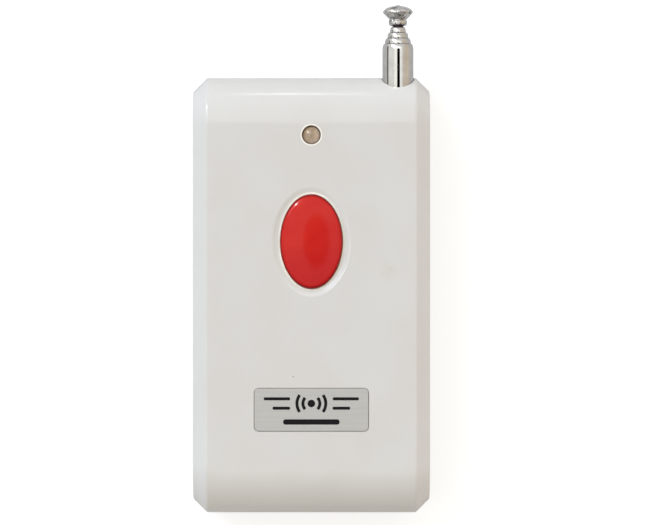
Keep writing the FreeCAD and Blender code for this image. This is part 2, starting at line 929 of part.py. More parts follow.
def led_lens():
    """The lamp's clear resin body, cast round its two leads."""
    base = led_base()
    flange = led_radius + led_flange
    corners = [
        (0, 0),
        (flange, 0),
        (flange, led_flange_thickness),
        (led_radius, led_flange_thickness),
        (led_radius, led_height),
        (0, led_height),
    ]
    dome = {corners.index((led_radius, led_height)): led_radius}
    return turned(corners, Vector(0, led_y, base), rounding=dome).cut(led_leads())


def led_leads():
    """The lamp's two leads: one ends in the cup that holds the crystal, the other in a post."""
    base = led_base()
    outer = lead_pitch / 2 + lead_width / 2
    inner = outer - lead_width
    low = board_height - lead_tail - base
    top = led_post_height
    cup = led_cup_width
    gap = lead_width / 2
    cup_corners = [
        (inner, low),
        (outer, low),
        (outer, top - lead_width),
        (cup - gap, top),
        (-gap, top),
        (-gap, top - lead_width),
        (inner, led_flange_thickness + gap),
    ]
    post_corners = [
        (inner, low),
        (outer, low),
        (outer, top - gap),
        (outer - gap, top),
        (2 * gap, top),
        (2 * gap, top - lead_width),
        (inner, top - 2 * lead_width),
    ]
    start = Vector(0, led_y - lead_width / 2, base)
    leads = [
        bent_strip(cup_corners, lead_width, start, -1),
        bent_strip(post_corners, lead_width, start, 1),
    ]
    return Part.makeCompound(leads)


def pin_holes():
    """Every hole in the circuit board, taken from the leads and screws that pass through it."""
    holes = [rod_up(x, y, (0, board_top + cut_margin), screw_hole_radius) for x, y in screw_places]
    holes.append(rod_up(antenna_x, foot_hole_y, (0, board_top + cut_margin), standoff_thread_radius))
    lead_groups = [
        switch_legs(),
        led_leads(),
        can_pins(),
        transistor_pins(),
    ]
    for group in lead_groups:
        for lead in group.Solids:
            reach = lead.common(slab((board_height, board_height + board_thickness))).BoundBox
            radius = max(reach.XLength, reach.YLength) / 2 + pin_hole_clearance
            holes.append(rod_up(reach.Center.x, reach.Center.y, (0, board_top + cut_margin), radius))
    return holes


def circuit_board():
    """The circuit board, clamped between the rear posts and the front bosses."""
    side = board_half_width
    cut = board_corner
    corners = [
        Vector(-side, board_lower_end, board_height),
        Vector(side, board_lower_end, board_height),
        Vector(side, board_upper_end - cut, board_height),
        Vector(side - cut, board_upper_end, board_height),
        Vector(cut - side, board_upper_end, board_height),
        Vector(-side, board_upper_end - cut, board_height),
    ]
    board = sharp_face(corners).extrude(Vector(0, 0, board_thickness))
    return board.cut(pin_holes())


def encoder_chip():
    """The encoder chip's moulded body, with drafted sides and a notch at one end."""
    x = chip_x
    y = chip_y
    half_x = chip_length / 2
    half_y = chip_width / 2
    middle = board_top + chip_lift + chip_height / 2
    layers = []
    for z, shrink in ((-chip_height / 2, chip_draft), (0, 0), (chip_height / 2, chip_draft)):
        corners = [
            Vector(x - half_x + shrink, y - half_y + shrink, middle + z),
            Vector(x + half_x - shrink, y - half_y + shrink, middle + z),
            Vector(x + half_x - shrink, y + half_y - shrink, middle + z),
            Vector(x - half_x + shrink, y + half_y - shrink, middle + z),
        ]
        layers.append(sharp_face(corners).OuterWire)
    lower = Part.makeLoft(layers[:2], True, True)
    upper = Part.makeLoft(layers[1:], True, True)
    top = middle + chip_height / 2
    notch = rod_up(x - half_x + chip_draft, y, (top - chip_draft, top + cut_margin), chip_notch_radius)
    return lower.fuse(upper).cut([notch, chip_pins()]).removeSplitter()


def chip_pins():
    """The chip's two rows of gull-wing pins, soldered flat on the board."""
    knee = chip_width / 2 + chip_pin_knee
    toe = chip_pin_row / 2
    middle = chip_lift + chip_height / 2
    thick = chip_pin_thickness
    corners = [
        (chip_width / 2 - chip_draft, middle),
        (knee - thick, middle),
        (knee - thick, 0),
        (toe, 0),
        (toe, thick),
        (knee, thick),
        (knee, middle + thick),
        (chip_width / 2 - chip_draft, middle + thick),
    ]
    pins = []
    for index in range(chip_pin_count):
        pin_x = chip_x + (index - (chip_pin_count - 1) / 2) * chip_pin_pitch - chip_pin_width / 2
        for row in (-1, 1):
            points = [Vector(pin_x, chip_y + row * reach, board_top + height) for reach, height in corners]
            pins.append(sharp_face(points).extrude(Vector(chip_pin_width, 0, 0)))
    return Part.makeCompound(pins)


def resonator_can():
    """The resonator's drawn steel can, with its welded flange."""
    flange = can_radius + can_flange
    corners = [
        (0, 0),
        (flange, 0),
        (flange, can_flange_thickness),
        (can_radius, can_flange_thickness),
        (can_radius, can_height),
        (0, can_height),
    ]
    return turned(corners, Vector(can_x, can_y, board_top))


def can_pins():
    """The resonator's leads, a quarter turn apart under the can."""
    pins = []
    for index in range(can_pin_count):
        angle = math.pi / 2 * (index + 1)
        x = can_x + can_pin_circle * math.cos(angle)
        y = can_y + can_pin_circle * math.sin(angle)
        pins.append(rod_up(x, y, (board_height - lead_tail, board_top), can_pin_radius))
    return Part.makeCompound(pins)


def rf_transistor():
    """The transistor's body: a round bar with one flat side."""
    z_range = (board_top + transistor_lift, board_top + transistor_lift + transistor_height)
    body = rod_up(transistor_x, transistor_y, z_range, transistor_radius)
    return body.cut(block((-far, far), (-far, transistor_y - transistor_flat), (-far, far)))


def transistor_pins():
    """The transistor's three leads in a row."""
    half = transistor_pin_width / 2
    pin_y = (transistor_y - half, transistor_y + half)
    pin_z = (board_height - lead_tail, board_top + transistor_lift)
    pins = []
    for index in (-1, 0, 1):
        pin_x = transistor_x + index * transistor_pin_pitch
        pins.append(block((pin_x - half, pin_x + half), pin_y, pin_z))
    return Part.makeCompound(pins)


def wire_section(centre, outward, tangent, radius):
    """One many-sided section of a round wire, square to its run."""
    sideways = outward.cross(tangent).normalize()
    corners = []
    for index in range(wire_sides):
        angle = 2 * math.pi * index / wire_sides
        corners.append(centre + outward * (radius * math.cos(angle)) + sideways * (radius * math.sin(angle)))
    return sharp_face(corners).OuterWire


def conical_spring(start_radius, end_radius, length, turns, wire_radius):
    """A spring round Z that narrows as it rises, lofted through sections along its helix."""
    steps = round(turns * spring_steps)
    sections = []
    for index in range(steps + 1):
        share = index / steps
        angle = 2 * math.pi * turns * share
        radius = start_radius + (end_radius - start_radius) * share
        outward = Vector(math.cos(angle), math.sin(angle), 0)
        rise = length / (2 * math.pi * turns)
        tangent = Vector(-math.sin(angle) * radius, math.cos(angle) * radius, rise).normalize()
        centre = outward * radius + Vector(0, 0, length * share)
        sections.append(wire_section(centre, outward, tangent, wire_radius))
    return Part.makeLoft(sections, True, True)


def drum_choke():
    """The small drum-wound choke beside the antenna, standing on the board."""
    corners = [
        (0, 0),
        (choke_radius, 0),
        (choke_radius, choke_flange),
        (choke_core_radius, choke_flange),
        (choke_core_radius, choke_height - choke_flange),
        (choke_radius, choke_height - choke_flange),
        (choke_radius, choke_height),
        (0, choke_height),
    ]
    return turned(corners, Vector(choke_x, choke_y, board_top))


def chip_part(x, y):
    """One small surface-mounted part, soldered flat on the board."""
    z_range = (board_top, board_top + chip_part_height)
    return block((x, x + chip_part_length), (y, y + chip_part_width), z_range)


def chip_capacitors():
    """The capacitors, in a row that runs down the board's side."""
    rows = range(capacitor_count)
    return Part.makeCompound([chip_part(capacitor_x, capacitor_y - row * chip_part_pitch) for row in rows])


def chip_resistors():
    """The resistors, in a row across the board below the chip."""
    rows = range(resistor_count)
    return Part.makeCompound([chip_part(resistor_row_x - row * resistor_pitch, resistor_y) for row in rows])


def tube_radius(index):
    """Outer radius of an antenna section; 0 is the outer tube and the last is the rod."""
    return (outer_tube_diameter - index * tube_diameter_drop) / 2


def section_top(index):
    """Where an antenna tube's upper end lies."""
    return outer_tube_top + index * section_show


def section_foot():
    """Where the moving sections end when they are pushed home."""
    return outer_tube_foot + foot_plug_length + section_rest_gap


def antenna_tube(index):
    """One tube, its upper end swaged in so that the next section's bush can't leave it."""
    outer = tube_radius(index)
    bore = outer - tube_wall
    mouth = tube_radius(index + 1) + lip_bore_clearance
    low = outer_tube_foot if index == 0 else section_foot()
    top = section_top(index)
    length = shoulder_length if index == 0 else inner_shoulder_length
    narrowing = shoulder_narrowing if index == 0 else inner_shoulder_narrowing
    shoulder = top - length
    corners = [
        (bore, low),
        (outer, low),
        (outer, shoulder),
        (outer - narrowing, top),
        (mouth, top),
        (mouth, shoulder),
        (bore, shoulder - (bore - mouth)),
    ]
    return turned(corners, Vector(antenna_x, 0, antenna_z), lengthwise)


def antenna_bush(index):
    """The slit spring sleeve on a section's foot, which runs in the tube outside it."""
    inner = tube_radius(index) + bush_seat
    outer = tube_radius(index - 1) - tube_wall - bush_clearance
    low = section_foot()
    corners = [(inner, low), (outer, low), (outer, low + bush_length), (inner, low + bush_length)]
    sleeve = turned(corners, Vector(antenna_x, 0, antenna_z), lengthwise)
    slit = block(
        (antenna_x - bush_slot / 2, antenna_x + bush_slot / 2),
        (low - cut_margin, low + bush_length + cut_margin),
        (antenna_z, antenna_z + outer_tube_diameter),
    )
    return sleeve.cut(slit)


def antenna_rod():
    """The innermost section: a solid rod that ends inside the knob."""
    top = section_top(tube_count - 1) + rod_show + knob_socket
    return rod_along(antenna_x, antenna_z, (section_foot(), top), tube_radius(tube_count))


def antenna_knob():
    """The turned tip that the antenna is pulled out by."""
    low = section_top(tube_count - 1) + rod_show
    neck = knob_neck_diameter / 2
    half = knob_diameter / 2
    socket = tube_radius(tube_count) + bush_seat
    top = low + knob_neck_length + knob_height
    crown = top - knob_crown
    corners = [
        (socket, low),
        (neck, low),
        (neck, low + knob_neck_length),
        (half, crown - knob_belt / 2),
        (half, crown + knob_belt / 2),
        (knob_shoulder_radius, top - knob_shoulder_drop),
        (knob_flat_radius, top),
        (0, top),
        (0, low + knob_socket + bush_seat),
        (socket, low + knob_socket + bush_seat),
    ]
    return turned(corners, Vector(antenna_x, 0, antenna_z), lengthwise)


def antenna_foot():
    """The plug in the outer tube's lower end, with the flat tab that is screwed down."""
    plug_radius = tube_radius(0) - tube_wall - bush_seat
    plug_end = outer_tube_foot + foot_plug_length
    plug = rod_along(antenna_x, antenna_z, (foot_flange_low, plug_end), plug_radius)
    flange = rod_along(antenna_x, antenna_z, (foot_flange_low, outer_tube_foot), tube_radius(0))
    half_tab = foot_tab_width / 2
    half_thick = foot_tab_thickness / 2
    corners = [
        Vector(antenna_x - half_tab, tab_end, antenna_z - half_thick),
        Vector(antenna_x + half_tab, tab_end, antenna_z - half_thick),
        Vector(antenna_x + half_tab, foot_flange_low, antenna_z - half_thick),
        Vector(antenna_x - half_tab, foot_flange_low, antenna_z - half_thick),
    ]
    end_round = half_tab - foot_end_flat / 2
    face = Part.Face(rounded_wire(corners, [end_round, end_round, 0, 0]))
    tab = face.extrude(Vector(0, 0, foot_tab_thickness))
    hole = rod_up(antenna_x, foot_hole_y, (board_top, body_depth), foot_hole_radius)
    return plug.fuse([flange, tab]).cut(hole).removeSplitter()


def foot_standoff():
    """The hexagonal brass spacer on the board that the antenna's tab is screwed to."""
    centre = Vector(antenna_x, foot_hole_y, board_top)
    radius = standoff_across_flats / math.sqrt(3)
    corners = []
    sides = 6
    for index in range(sides):
        angle = 2 * math.pi * index / sides
        corners.append(centre + Vector(radius * math.cos(angle), radius * math.sin(angle), 0))
    height = antenna_z - foot_tab_thickness / 2 - board_top
    hexagon = sharp_face(corners).extrude(Vector(0, 0, height))
    return hexagon.cut(rod_up(antenna_x, foot_hole_y, (0, body_depth), standoff_thread_radius + thread_fit))


def cross_recess(x, y, z_face, direction):
    """The cross-shaped drive recess of a screw, cut from its face along a direction up or down."""
    z_range = sorted((z_face - direction, z_face + direction * cross_depth))
    half_long = cross_length / 2
    half_wide = cross_width / 2
    along_x = block((x - half_long, x + half_long), (y - half_wide, y + half_wide), z_range)
    along_y = block((x - half_wide, x + half_wide), (y - half_long, y + half_long), z_range)
    return along_x.fuse(along_y)


def foot_screw():
    """The pan-head screw through the antenna's tab."""
    seat = antenna_z + foot_tab_thickness / 2
    corners = [
        (0, -standoff_thread_length),
        (standoff_thread_radius, -standoff_thread_length),
        (standoff_thread_radius, 0),
        (standoff_head_radius, 0),
        (standoff_head_radius, standoff_head_height - head_bevel),
        (standoff_head_radius - head_bevel, standoff_head_height),
        (0, standoff_head_height),
    ]
    screw = turned(corners, Vector(antenna_x, foot_hole_y, seat))
    return screw.cut(cross_recess(antenna_x, foot_hole_y, seat + standoff_head_height, -1))


def case_screws():
    """The four self-tapping screws, driven from the rear face."""
    screws = []
    head_low = screw_head_seat - screw_head_height
    thread_end = screw_head_seat + screw_thread_length
    corners = [
        (0, head_low),
        (screw_head_radius - head_bevel, head_low),
        (screw_head_radius, head_low + head_bevel),
        (screw_head_radius, screw_head_seat),
        (screw_thread_radius, screw_head_seat),
        (screw_thread_radius, thread_end - screw_tip_length),
        (screw_tip_radius, thread_end),
        (0, thread_end),
    ]
    for x, y in screw_places:
        screw = turned(corners, Vector(x, y, 0))
        screws.append(screw.cut(cross_recess(x, y, head_low, 1)))
    return Part.makeCompound(screws)


def battery():
    """The cylindrical battery, with its raised positive end towards +X."""
    body_end = battery_length - battery_nub_height
    bevel = battery_edge_bevel
    corners = [
        (0, 0),
        (battery_radius - bevel, 0),
        (battery_radius, bevel),
        (battery_radius, body_end - bevel),
        (battery_radius - bevel, body_end),
        (battery_nub_radius, body_end),
        (battery_nub_radius, battery_length),
        (0, battery_length),
    ]
    return turned(corners, Vector(battery_minus_x, battery_y, battery_z), crosswise)


def battery_contact(side):
    """A sheet contact on one side wall, with a tail past the partition and a foot on the board."""
    plate_x = sorted((side * contact_inner_x, side * contact_outer_x))
    half_height = contact_height / 2
    foot_end = board_lower_end + contact_foot_width
    plate = block(plate_x, (battery_y - contact_width / 2, battery_y + contact_width / 2),
                  (battery_z - half_height, battery_z + half_height))
    tail = block(plate_x, (battery_y, foot_end), (board_top, board_top + contact_tail_height))
    foot_x = sorted((side * (contact_inner_x - contact_foot_reach), side * contact_outer_x))
    foot = block(foot_x, (board_lower_end, foot_end), (board_top, board_top + contact_thickness))
    return plate.fuse([tail, foot]).removeSplitter()


def positive_contact():
    """The positive contact, with a hollow dimple pressed out of its plate towards the battery."""
    radius = contact_dimple_radius
    base = radius + contact_dimple_slope
    tip = Vector(battery_plus_x + contact_gap, battery_y, battery_z)
    skin = contact_thickness
    outer = Part.makeCone(radius, base, contact_dimple, tip, Vector(1, 0, 0))
    inner = Part.makeCone(radius, base, contact_dimple, tip + Vector(skin, 0, 0), Vector(1, 0, 0))
    return battery_contact(1).fuse(outer).cut(inner).removeSplitter()


def negative_spring():
    """The conical spring between the negative contact and the battery."""
    start_x = -contact_inner_x + spring_wire_radius + contact_gap
    length = battery_minus_x - contact_gap - spring_wire_radius - start_x
    start = Vector(start_x, battery_y, battery_z)
    spring = conical_spring(spring_base_radius, spring_tip_radius, length, spring_turns, spring_wire_radius)
    return placed(spring, start, crosswise)


def build():
    """Every piece, by the name of its node."""
    nodes = {
        "front_cover": front_cover(),
        "rear_cover": rear_cover(),
        "battery_door": battery_door(),
        "button_cap": button_cap(),
        "label_plate": label_plate(),
        "indicator_led": led_lens(),
        "led_leads": led_leads(),
        "circuit_board": circuit_board(),
        "switch_base": switch_base(),
        "switch_cover": switch_cover(),
        "switch_plunger": switch_plunger(),
        "switch_dome": switch_dome(),
        "switch_legs": switch_legs(),
        "encoder_chip": encoder_chip(),
        "chip_pins": chip_pins(),
        "resonator_can": resonator_can(),
        "resonator_pins": can_pins(),
        "rf_transistor": rf_transistor(),
        "transistor_pins": transistor_pins(),
        "drum_choke": drum_choke(),
        "chip_capacitors": chip_capacitors(),
        "chip_resistors": chip_resistors(),
        "battery": battery(),
        "negative_contact": battery_contact(-1),
        "negative_spring": negative_spring(),
        "positive_contact": positive_contact(),
        "antenna_foot": antenna_foot(),
        "foot_standoff": foot_standoff(),
        "foot_screw": foot_screw(),
        "antenna_rod": antenna_rod(),
        "antenna_knob": antenna_knob(),
        "case_screws": case_screws(),
    }
    for index in range(tube_count):
        nodes["antenna_tube_%d" % (index + 1)] = antenna_tube(index)
        nodes["antenna_bush_%d" % (index + 2)] = antenna_bush(index + 1)
    return nodes


os.makedirs("parts", exist_ok=True)
for name, shape in build().items():
    shape.exportStep("parts/" + name + ".step")
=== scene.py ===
import math

import bmesh
import bpy
from mathutils import Matrix, Vector


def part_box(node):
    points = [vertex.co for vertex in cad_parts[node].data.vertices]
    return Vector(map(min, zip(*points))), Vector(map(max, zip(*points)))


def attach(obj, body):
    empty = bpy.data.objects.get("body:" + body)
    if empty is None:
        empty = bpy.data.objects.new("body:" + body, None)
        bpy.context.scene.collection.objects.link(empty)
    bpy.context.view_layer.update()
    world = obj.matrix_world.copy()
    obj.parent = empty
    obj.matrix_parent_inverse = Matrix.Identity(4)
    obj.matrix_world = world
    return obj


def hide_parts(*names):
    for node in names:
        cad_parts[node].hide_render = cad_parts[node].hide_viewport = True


# Looks of the wireless panic button. Lengths are in metres, so mm turns a drawing size into one.
# It lies on its back: X runs across it, Y towards the antenna and Z up out of its front face.

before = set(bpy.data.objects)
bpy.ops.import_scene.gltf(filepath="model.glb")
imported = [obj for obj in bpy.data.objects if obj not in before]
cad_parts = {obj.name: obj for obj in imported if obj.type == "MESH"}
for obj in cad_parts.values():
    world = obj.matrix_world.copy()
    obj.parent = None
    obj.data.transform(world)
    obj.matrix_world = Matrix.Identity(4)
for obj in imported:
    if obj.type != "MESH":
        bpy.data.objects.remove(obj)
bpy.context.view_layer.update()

mm = 0.001
pi = math.pi

# Camera: a long lens square to the front face, but for a trace of lean towards the antenna end
camera_distance = 800 * mm
camera_lean = math.radians(0.36)
camera_lens = 274.9
camera_aim = Vector((2.18 * mm, 5.27 * mm, 7.5 * mm))

# Sizes from the solids' boxes
section_nodes = [
    "antenna_tube_1", "antenna_tube_2", "antenna_tube_3", "antenna_tube_4", "antenna_rod",
]
knob_low, knob_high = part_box("antenna_knob")
outer_low, outer_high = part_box("antenna_tube_1")
cap_low, cap_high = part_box("button_cap")
lamp_low, lamp_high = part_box("indicator_led")
plate_low, plate_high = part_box("label_plate")
antenna_axis = ((outer_low.x + outer_high.x) / 2, 0.0, (outer_low.z + outer_high.z) / 2)
button_y = (cap_low.y + cap_high.y) / 2
lamp_y = (lamp_low.y + lamp_high.y) / 2
face_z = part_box("front_cover")[1].z

# Sizes that the solids have inside their boxes
cap_flange = 0.9 * mm
cap_clearance = 0.15 * mm
cap_half_x = (cap_high.x - cap_low.x) / 2 - cap_flange
cap_half_y = (cap_high.y - cap_low.y) / 2 - cap_flange
dish_half_x = 6.4 * mm
dish_half_y = 8.85 * mm
dish_depth = 0.35 * mm
lamp_hole_radius = 1.6 * mm
lens_radius = 1.47 * mm
battery_rim = 4.1 * mm

# What the finishes mark on the pieces: places on the front, and heights
smudge_place = (12.4 * mm, 3.9 * mm, face_z)
speck_place = (-2.9 * mm, -12.9 * mm, face_z)
# The red cap's painted shade grows with distance from this place, at its upper left
cap_painted_shade_anchor = (-2.5 * mm, button_y + 6 * mm, face_z)
# The lamp lens's painted light grows with distance from this place, at its upper left
lamp_painted_light_anchor = (-0.5 * mm, lamp_y + 0.5 * mm, face_z + 0.2 * mm)
front_bottom = face_z - 1.6 * mm
shade_line_softness = 0.04 * mm


# Colours and node trees

def paint(red, green, blue):
    """A colour as it is read off a screen, from 0 to 255, turned into light values."""
    values = []
    for value in (red, green, blue):
        share = value / 255
        values.append(share / 12.92 if share <= 0.04045 else ((share + 0.055) / 1.055) ** 2.4)
    return (values[0], values[1], values[2], 1.0)


class Nodes:
    """A node tree, with short ways to add the nodes that are used most here."""

    prefix = "ShaderNode"

    def __init__(self, tree):
        self.tree = tree

    def add(self, kind, **attributes):
        """A new node, with its plain attributes set."""
        made = self.tree.nodes.new(kind)
        for attribute, value in attributes.items():
            setattr(made, attribute, value)
        return made

    def join(self, source, target):
        """A link from an output to an input, or a plain value on the input."""
        if isinstance(source, (int, float, tuple)):
            target.default_value = source
        else:
            self.tree.links.new(source, target)

    def filled(self, kind, *values, **attributes):
        """A shader node whose inputs take the values in turn; its outputs."""
        made = self.add("ShaderNode" + kind, **attributes)
        for value, socket in zip(values, made.inputs):
            self.join(value, socket)
        return made.outputs

    def pick(self, sockets, name):
        """The socket of that name that is in use."""
        return next(socket for socket in sockets if socket.name == name and socket.enabled)

    def node(self, kind, result, attributes=None, **values):
        """A node with values or links on its named inputs; its named output."""
        made = self.add(self.prefix + kind, **(attributes or {}))
        for name, value in values.items():
            self.join(value, self.pick(made.inputs, name.replace("_", " ")))
        return self.pick(made.outputs, result)

    def between(self, factor, low, high, start=0.0, end=1.0):
        """A value that runs from low to high as the factor runs from start to end."""
        return self.filled("MapRange", factor, start, end, low, high, clamp=True)[0]

    def rise(self, factor, start, end):
        """0 up to the start and 1 from the end on."""
        return self.between(factor, 0.0, 1.0, start, end)

    def fall(self, factor, start, end):
        """1 up to the start and 0 from the end on."""
        return self.between(factor, 1.0, 0.0, start, end)

    def blend(self, factor, first, second):
        """A mix of two colours, each a colour or an output."""
        mix = self.add("ShaderNodeMix", data_type="RGBA")
        self.join(factor, mix.inputs[0])
        self.join(first, mix.inputs[6])
        self.join(second, mix.inputs[7])
        return mix.outputs[2]

    def combine(self, operation, first, second=0.0):
        """Arithmetic on two outputs or numbers."""
        return self.filled("Math", first, second, operation=operation)[0]

    def times(self, first, second):
        """The product of two outputs or numbers."""
        return self.combine("MULTIPLY", first, second)

    def vectors(self, operation, *values):
        """Arithmetic on vectors or colours."""
        gives_number = operation in ("DOT_PRODUCT", "LENGTH", "DISTANCE")
        made = self.filled("VectorMath", *values, operation=operation)
        return made["Value" if gives_number else "Vector"]

    def axes(self, vector):
        """The X, Y and Z of a vector."""
        return self.filled("SeparateXYZ", vector)

    def point(self, x, y, z):
        """A place from three numbers or outputs."""
        return self.filled("CombineXYZ", x, y, z)[0]


class Finish(Nodes):
    """One procedural material, with the few node patterns that the finishes here are made of."""

    def __init__(self, name, colour, roughness, **settings):
        self.material = bpy.data.materials.new(name)
        self.material.use_nodes = True
        super().__init__(self.material.node_tree)
        self.tree.nodes.clear()
        self.shader = self.add("ShaderNodeBsdfPrincipled")
        self.join(self.shader.outputs[0], self.add("ShaderNodeOutputMaterial").inputs[0])
        self.place = self.add("ShaderNodeTexCoord").outputs["Object"]
        self.colour = colour
        for socket, value in {"Base_Color": colour, "Roughness": roughness, **settings}.items():
            self.shader.inputs[socket.replace("_", " ")].default_value = value

    def stretched(self, stretch, shift=(0, 0, 0)):
        """The piece's own coordinates, stretched along each axis and then moved."""
        return self.node("Mapping", "Vector", Vector=self.place, Location=shift, Scale=stretch)

    def noise(self, grain, detail=3.0, stretch=(1, 1, 1)):
        """Soft noise whose patches are about one grain across."""
        place = self.stretched(stretch)
        return self.node("TexNoise", "Fac", Vector=place, Scale=1 / grain, Detail=detail)

    def patches(self, grain, start=0.35, end=0.65, detail=3.0):
        """Noise drawn apart into patches of 0 and 1 with soft edges."""
        return self.rise(self.noise(grain, detail), start, end)

    def spots(self, grain):
        """Cells about one grain across, dark at their middles."""
        return self.node("TexVoronoi", "Distance", Vector=self.place, Scale=1 / grain)

    def bands(self, width, axis, wander=0.0):
        """Even waves across one axis, each one width wide."""
        return self.node("TexWave", "Fac", {"wave_type": "BANDS", "bands_direction": axis},
                         Vector=self.place, Scale=pi / (10 * width), Distortion=wander)

    def spot_at(self, centre, radius, soft):
        """1 inside a round place on the piece and 0 outside it, with a soft edge."""
        distance = self.vectors("DISTANCE", self.place, centre)
        return self.fall(distance, radius - soft, radius + soft)

    def from_oval(self, centre_y, half_x, half_y):
        """How far out a place is from the part's middle line: 1 on the oval, less inside it."""
        move = (0, -centre_y / half_y, 0)
        return self.vectors("LENGTH", self.stretched((1 / half_x, 1 / half_y, 0), move))

    def ring(self, distance, start, end, soft):
        """1 where the distance lies between start and end, with soft edges."""
        rising = self.rise(distance, start - soft, start + soft)
        return self.times(rising, self.fall(distance, end - soft, end + soft))

    def coloured(self, source):
        """The colour comes from an output."""
        self.join(source, self.shader.inputs["Base Color"])

    def colour_from(self, factor, other):
        """The colour varies towards another one with the factor."""
        self.coloured(self.blend(factor, self.colour, other))

    def roughness_from(self, factor, low, high, start=0.3, end=0.7):
        """The roughness varies with the factor."""
        self.join(self.between(factor, low, high, start, end), self.shader.inputs["Roughness"])

    def relief(self, height, depth, strength=1.0):
        """Fine relief on the surface, added to any that is there."""
        normal = self.shader.inputs["Normal"]
        below = {"Normal": normal.links[0].from_socket} if normal.is_linked else {}
        bump = self.node("Bump", "Normal", Height=height, Distance=depth, Strength=strength,
                         **below)
        self.join(bump, normal)


def white_moulding():
    """Satin white moulded plastic with a faint smudge and a speck, a painted highlight round its
    holes and painted light in the button's dish.
    """
    made = Finish("white_moulding", paint(216, 214, 210), 0.2, Specular_IOR_Level=0.25)
    colour_layers = made.blend(made.patches(9 * mm, detail=2.0), made.colour, paint(214, 211, 207))
    smudge = made.spot_at(smudge_place, 0.9 * mm, 0.9 * mm)
    smudge = made.times(smudge, made.between(made.noise(0.8 * mm), 0.1, 0.3, 0.4, 0.7))
    marks_and_painted_shading = made.blend(smudge, colour_layers, paint(196, 180, 160))
    speck = made.spot_at(speck_place, 0.1 * mm, 0.06 * mm)
    marks_and_painted_shading = made.blend(speck, marks_and_painted_shading, paint(158, 148, 136))
    front = made.rise(made.axes(made.place)["Z"], front_bottom, front_bottom + 0.1 * mm)
    # Painted light: inside the button's dish the face is drawn a little lighter and cooler.
    dish_painted_light = made.fall(made.from_oval(button_y, dish_half_x, dish_half_y), 0.96, 1.0)
    marks_and_painted_shading = made.blend(made.times(dish_painted_light, front), marks_and_painted_shading, paint(220, 220, 216))
    from_button = made.from_oval(button_y, cap_half_x + cap_clearance, cap_half_y + cap_clearance)
    from_lamp = made.from_oval(lamp_y, lamp_hole_radius, lamp_hole_radius)
    # Painted highlight: a pale cream ring round the button's hole and round the lamp's hole, on the
    # front only.
    rim_highlights = made.combine("MAXIMUM", made.ring(from_button, 0.965, 1.03, 0.006),
                         made.ring(from_lamp, 0.9, 1.1, 0.02))
    made.coloured(made.blend(made.times(rim_highlights, front), marks_and_painted_shading, paint(247, 242, 232)))
    made.roughness_from(made.noise(2.5 * mm), 0.1, 0.17)
    made.relief(made.noise(0.35 * mm, 4.0), 0.003 * mm, 0.2)
    made.relief(made.noise(6 * mm, 2.0), 0.05 * mm, 0.3)
    made.relief(made.noise(15 * mm, 1.0), 0.3 * mm, 0.35)
    return made.material


def red_moulding():
    """Glossy red plastic, a little uneven in tone, with painted shade towards the lower right and
    along the rim.
    """
    made = Finish("red_moulding", paint(206, 39, 32), 0.12, Specular_IOR_Level=0.14)
    colour_layers = made.blend(made.patches(3.2 * mm, 0.3, 0.7), paint(203, 42, 34), paint(197, 35, 30))
    # Painted shade: the cap grows darker away from its upper left, towards the lower right.
    from_painted_anchor = made.vectors("DISTANCE", made.place, cap_painted_shade_anchor)
    colour_layers = made.blend(made.rise(from_painted_anchor, 5 * mm, 14 * mm), colour_layers, paint(188, 31, 32))
    outwards = made.from_oval(button_y, cap_half_x, cap_half_y)
    # Painted shade: the rim is drawn deeper red in two steps towards its edge.
    for start, end, rim_shade in ((0.94, 0.965, paint(150, 14, 14)), (0.972, 0.99, paint(122, 6, 6))):
        colour_layers = made.blend(made.rise(outwards, start, end), colour_layers, rim_shade)
    made.coloured(colour_layers)
    grain = made.between(made.noise(0.9 * mm), 0.06, 0.12, 0.3, 0.7)
    worn = made.between(outwards, 1.0, 0.3, 0.8, 0.9)
    made.join(made.times(grain, worn), made.shader.inputs["Roughness"])
    made.relief(made.noise(1.6 * mm, 3.0), 0.01 * mm, 0.3)
    return made.material


def brushed_label():
    """Aluminium sheet brushed along the label's length."""
    made = Finish("brushed_label", paint(188, 187, 183), 0.42, Metallic=0.4)
    lines = made.noise(0.7 * mm, 4.0, stretch=(0.06, 5.0, 1.0))
    made.colour_from(made.rise(lines, 0.3, 0.7), paint(178, 177, 173))
    made.roughness_from(lines, 0.38, 0.46)
    made.relief(lines, 0.003 * mm, 0.25)
    return made.material


def lamp_resin():
    """Clear casting resin with a faint brown tint, painted light towards the lower right and
    painted shade round the edge.
    """
    made = Finish("lamp_resin", paint(192, 168, 138), 0.06, IOR=1.5, Transmission_Weight=0.25)
    clouding_and_painted_light = made.blend(made.patches(0.5 * mm), made.colour, paint(173, 147, 120))
    # Painted light: the lens is drawn paler away from its upper left, towards the lower right.
    from_painted_anchor = made.vectors("DISTANCE", made.place, lamp_painted_light_anchor)
    clouding_and_painted_light = made.blend(made.rise(from_painted_anchor, 0.9 * mm, 1.9 * mm), clouding_and_painted_light, paint(232, 211, 194))
    # Painted shade: the lens is drawn darker brown round its edge.
    lens_edge_shade = made.rise(made.from_oval(lamp_y, lens_radius, lens_radius), 0.9, 0.97)
    made.coloured(made.blend(lens_edge_shade, clouding_and_painted_light, paint(158, 128, 112)))
    made.roughness_from(made.noise(0.6 * mm), 0.02, 0.06)
    made.relief(made.noise(0.5 * mm), 0.004 * mm, 0.3)
    return made.material


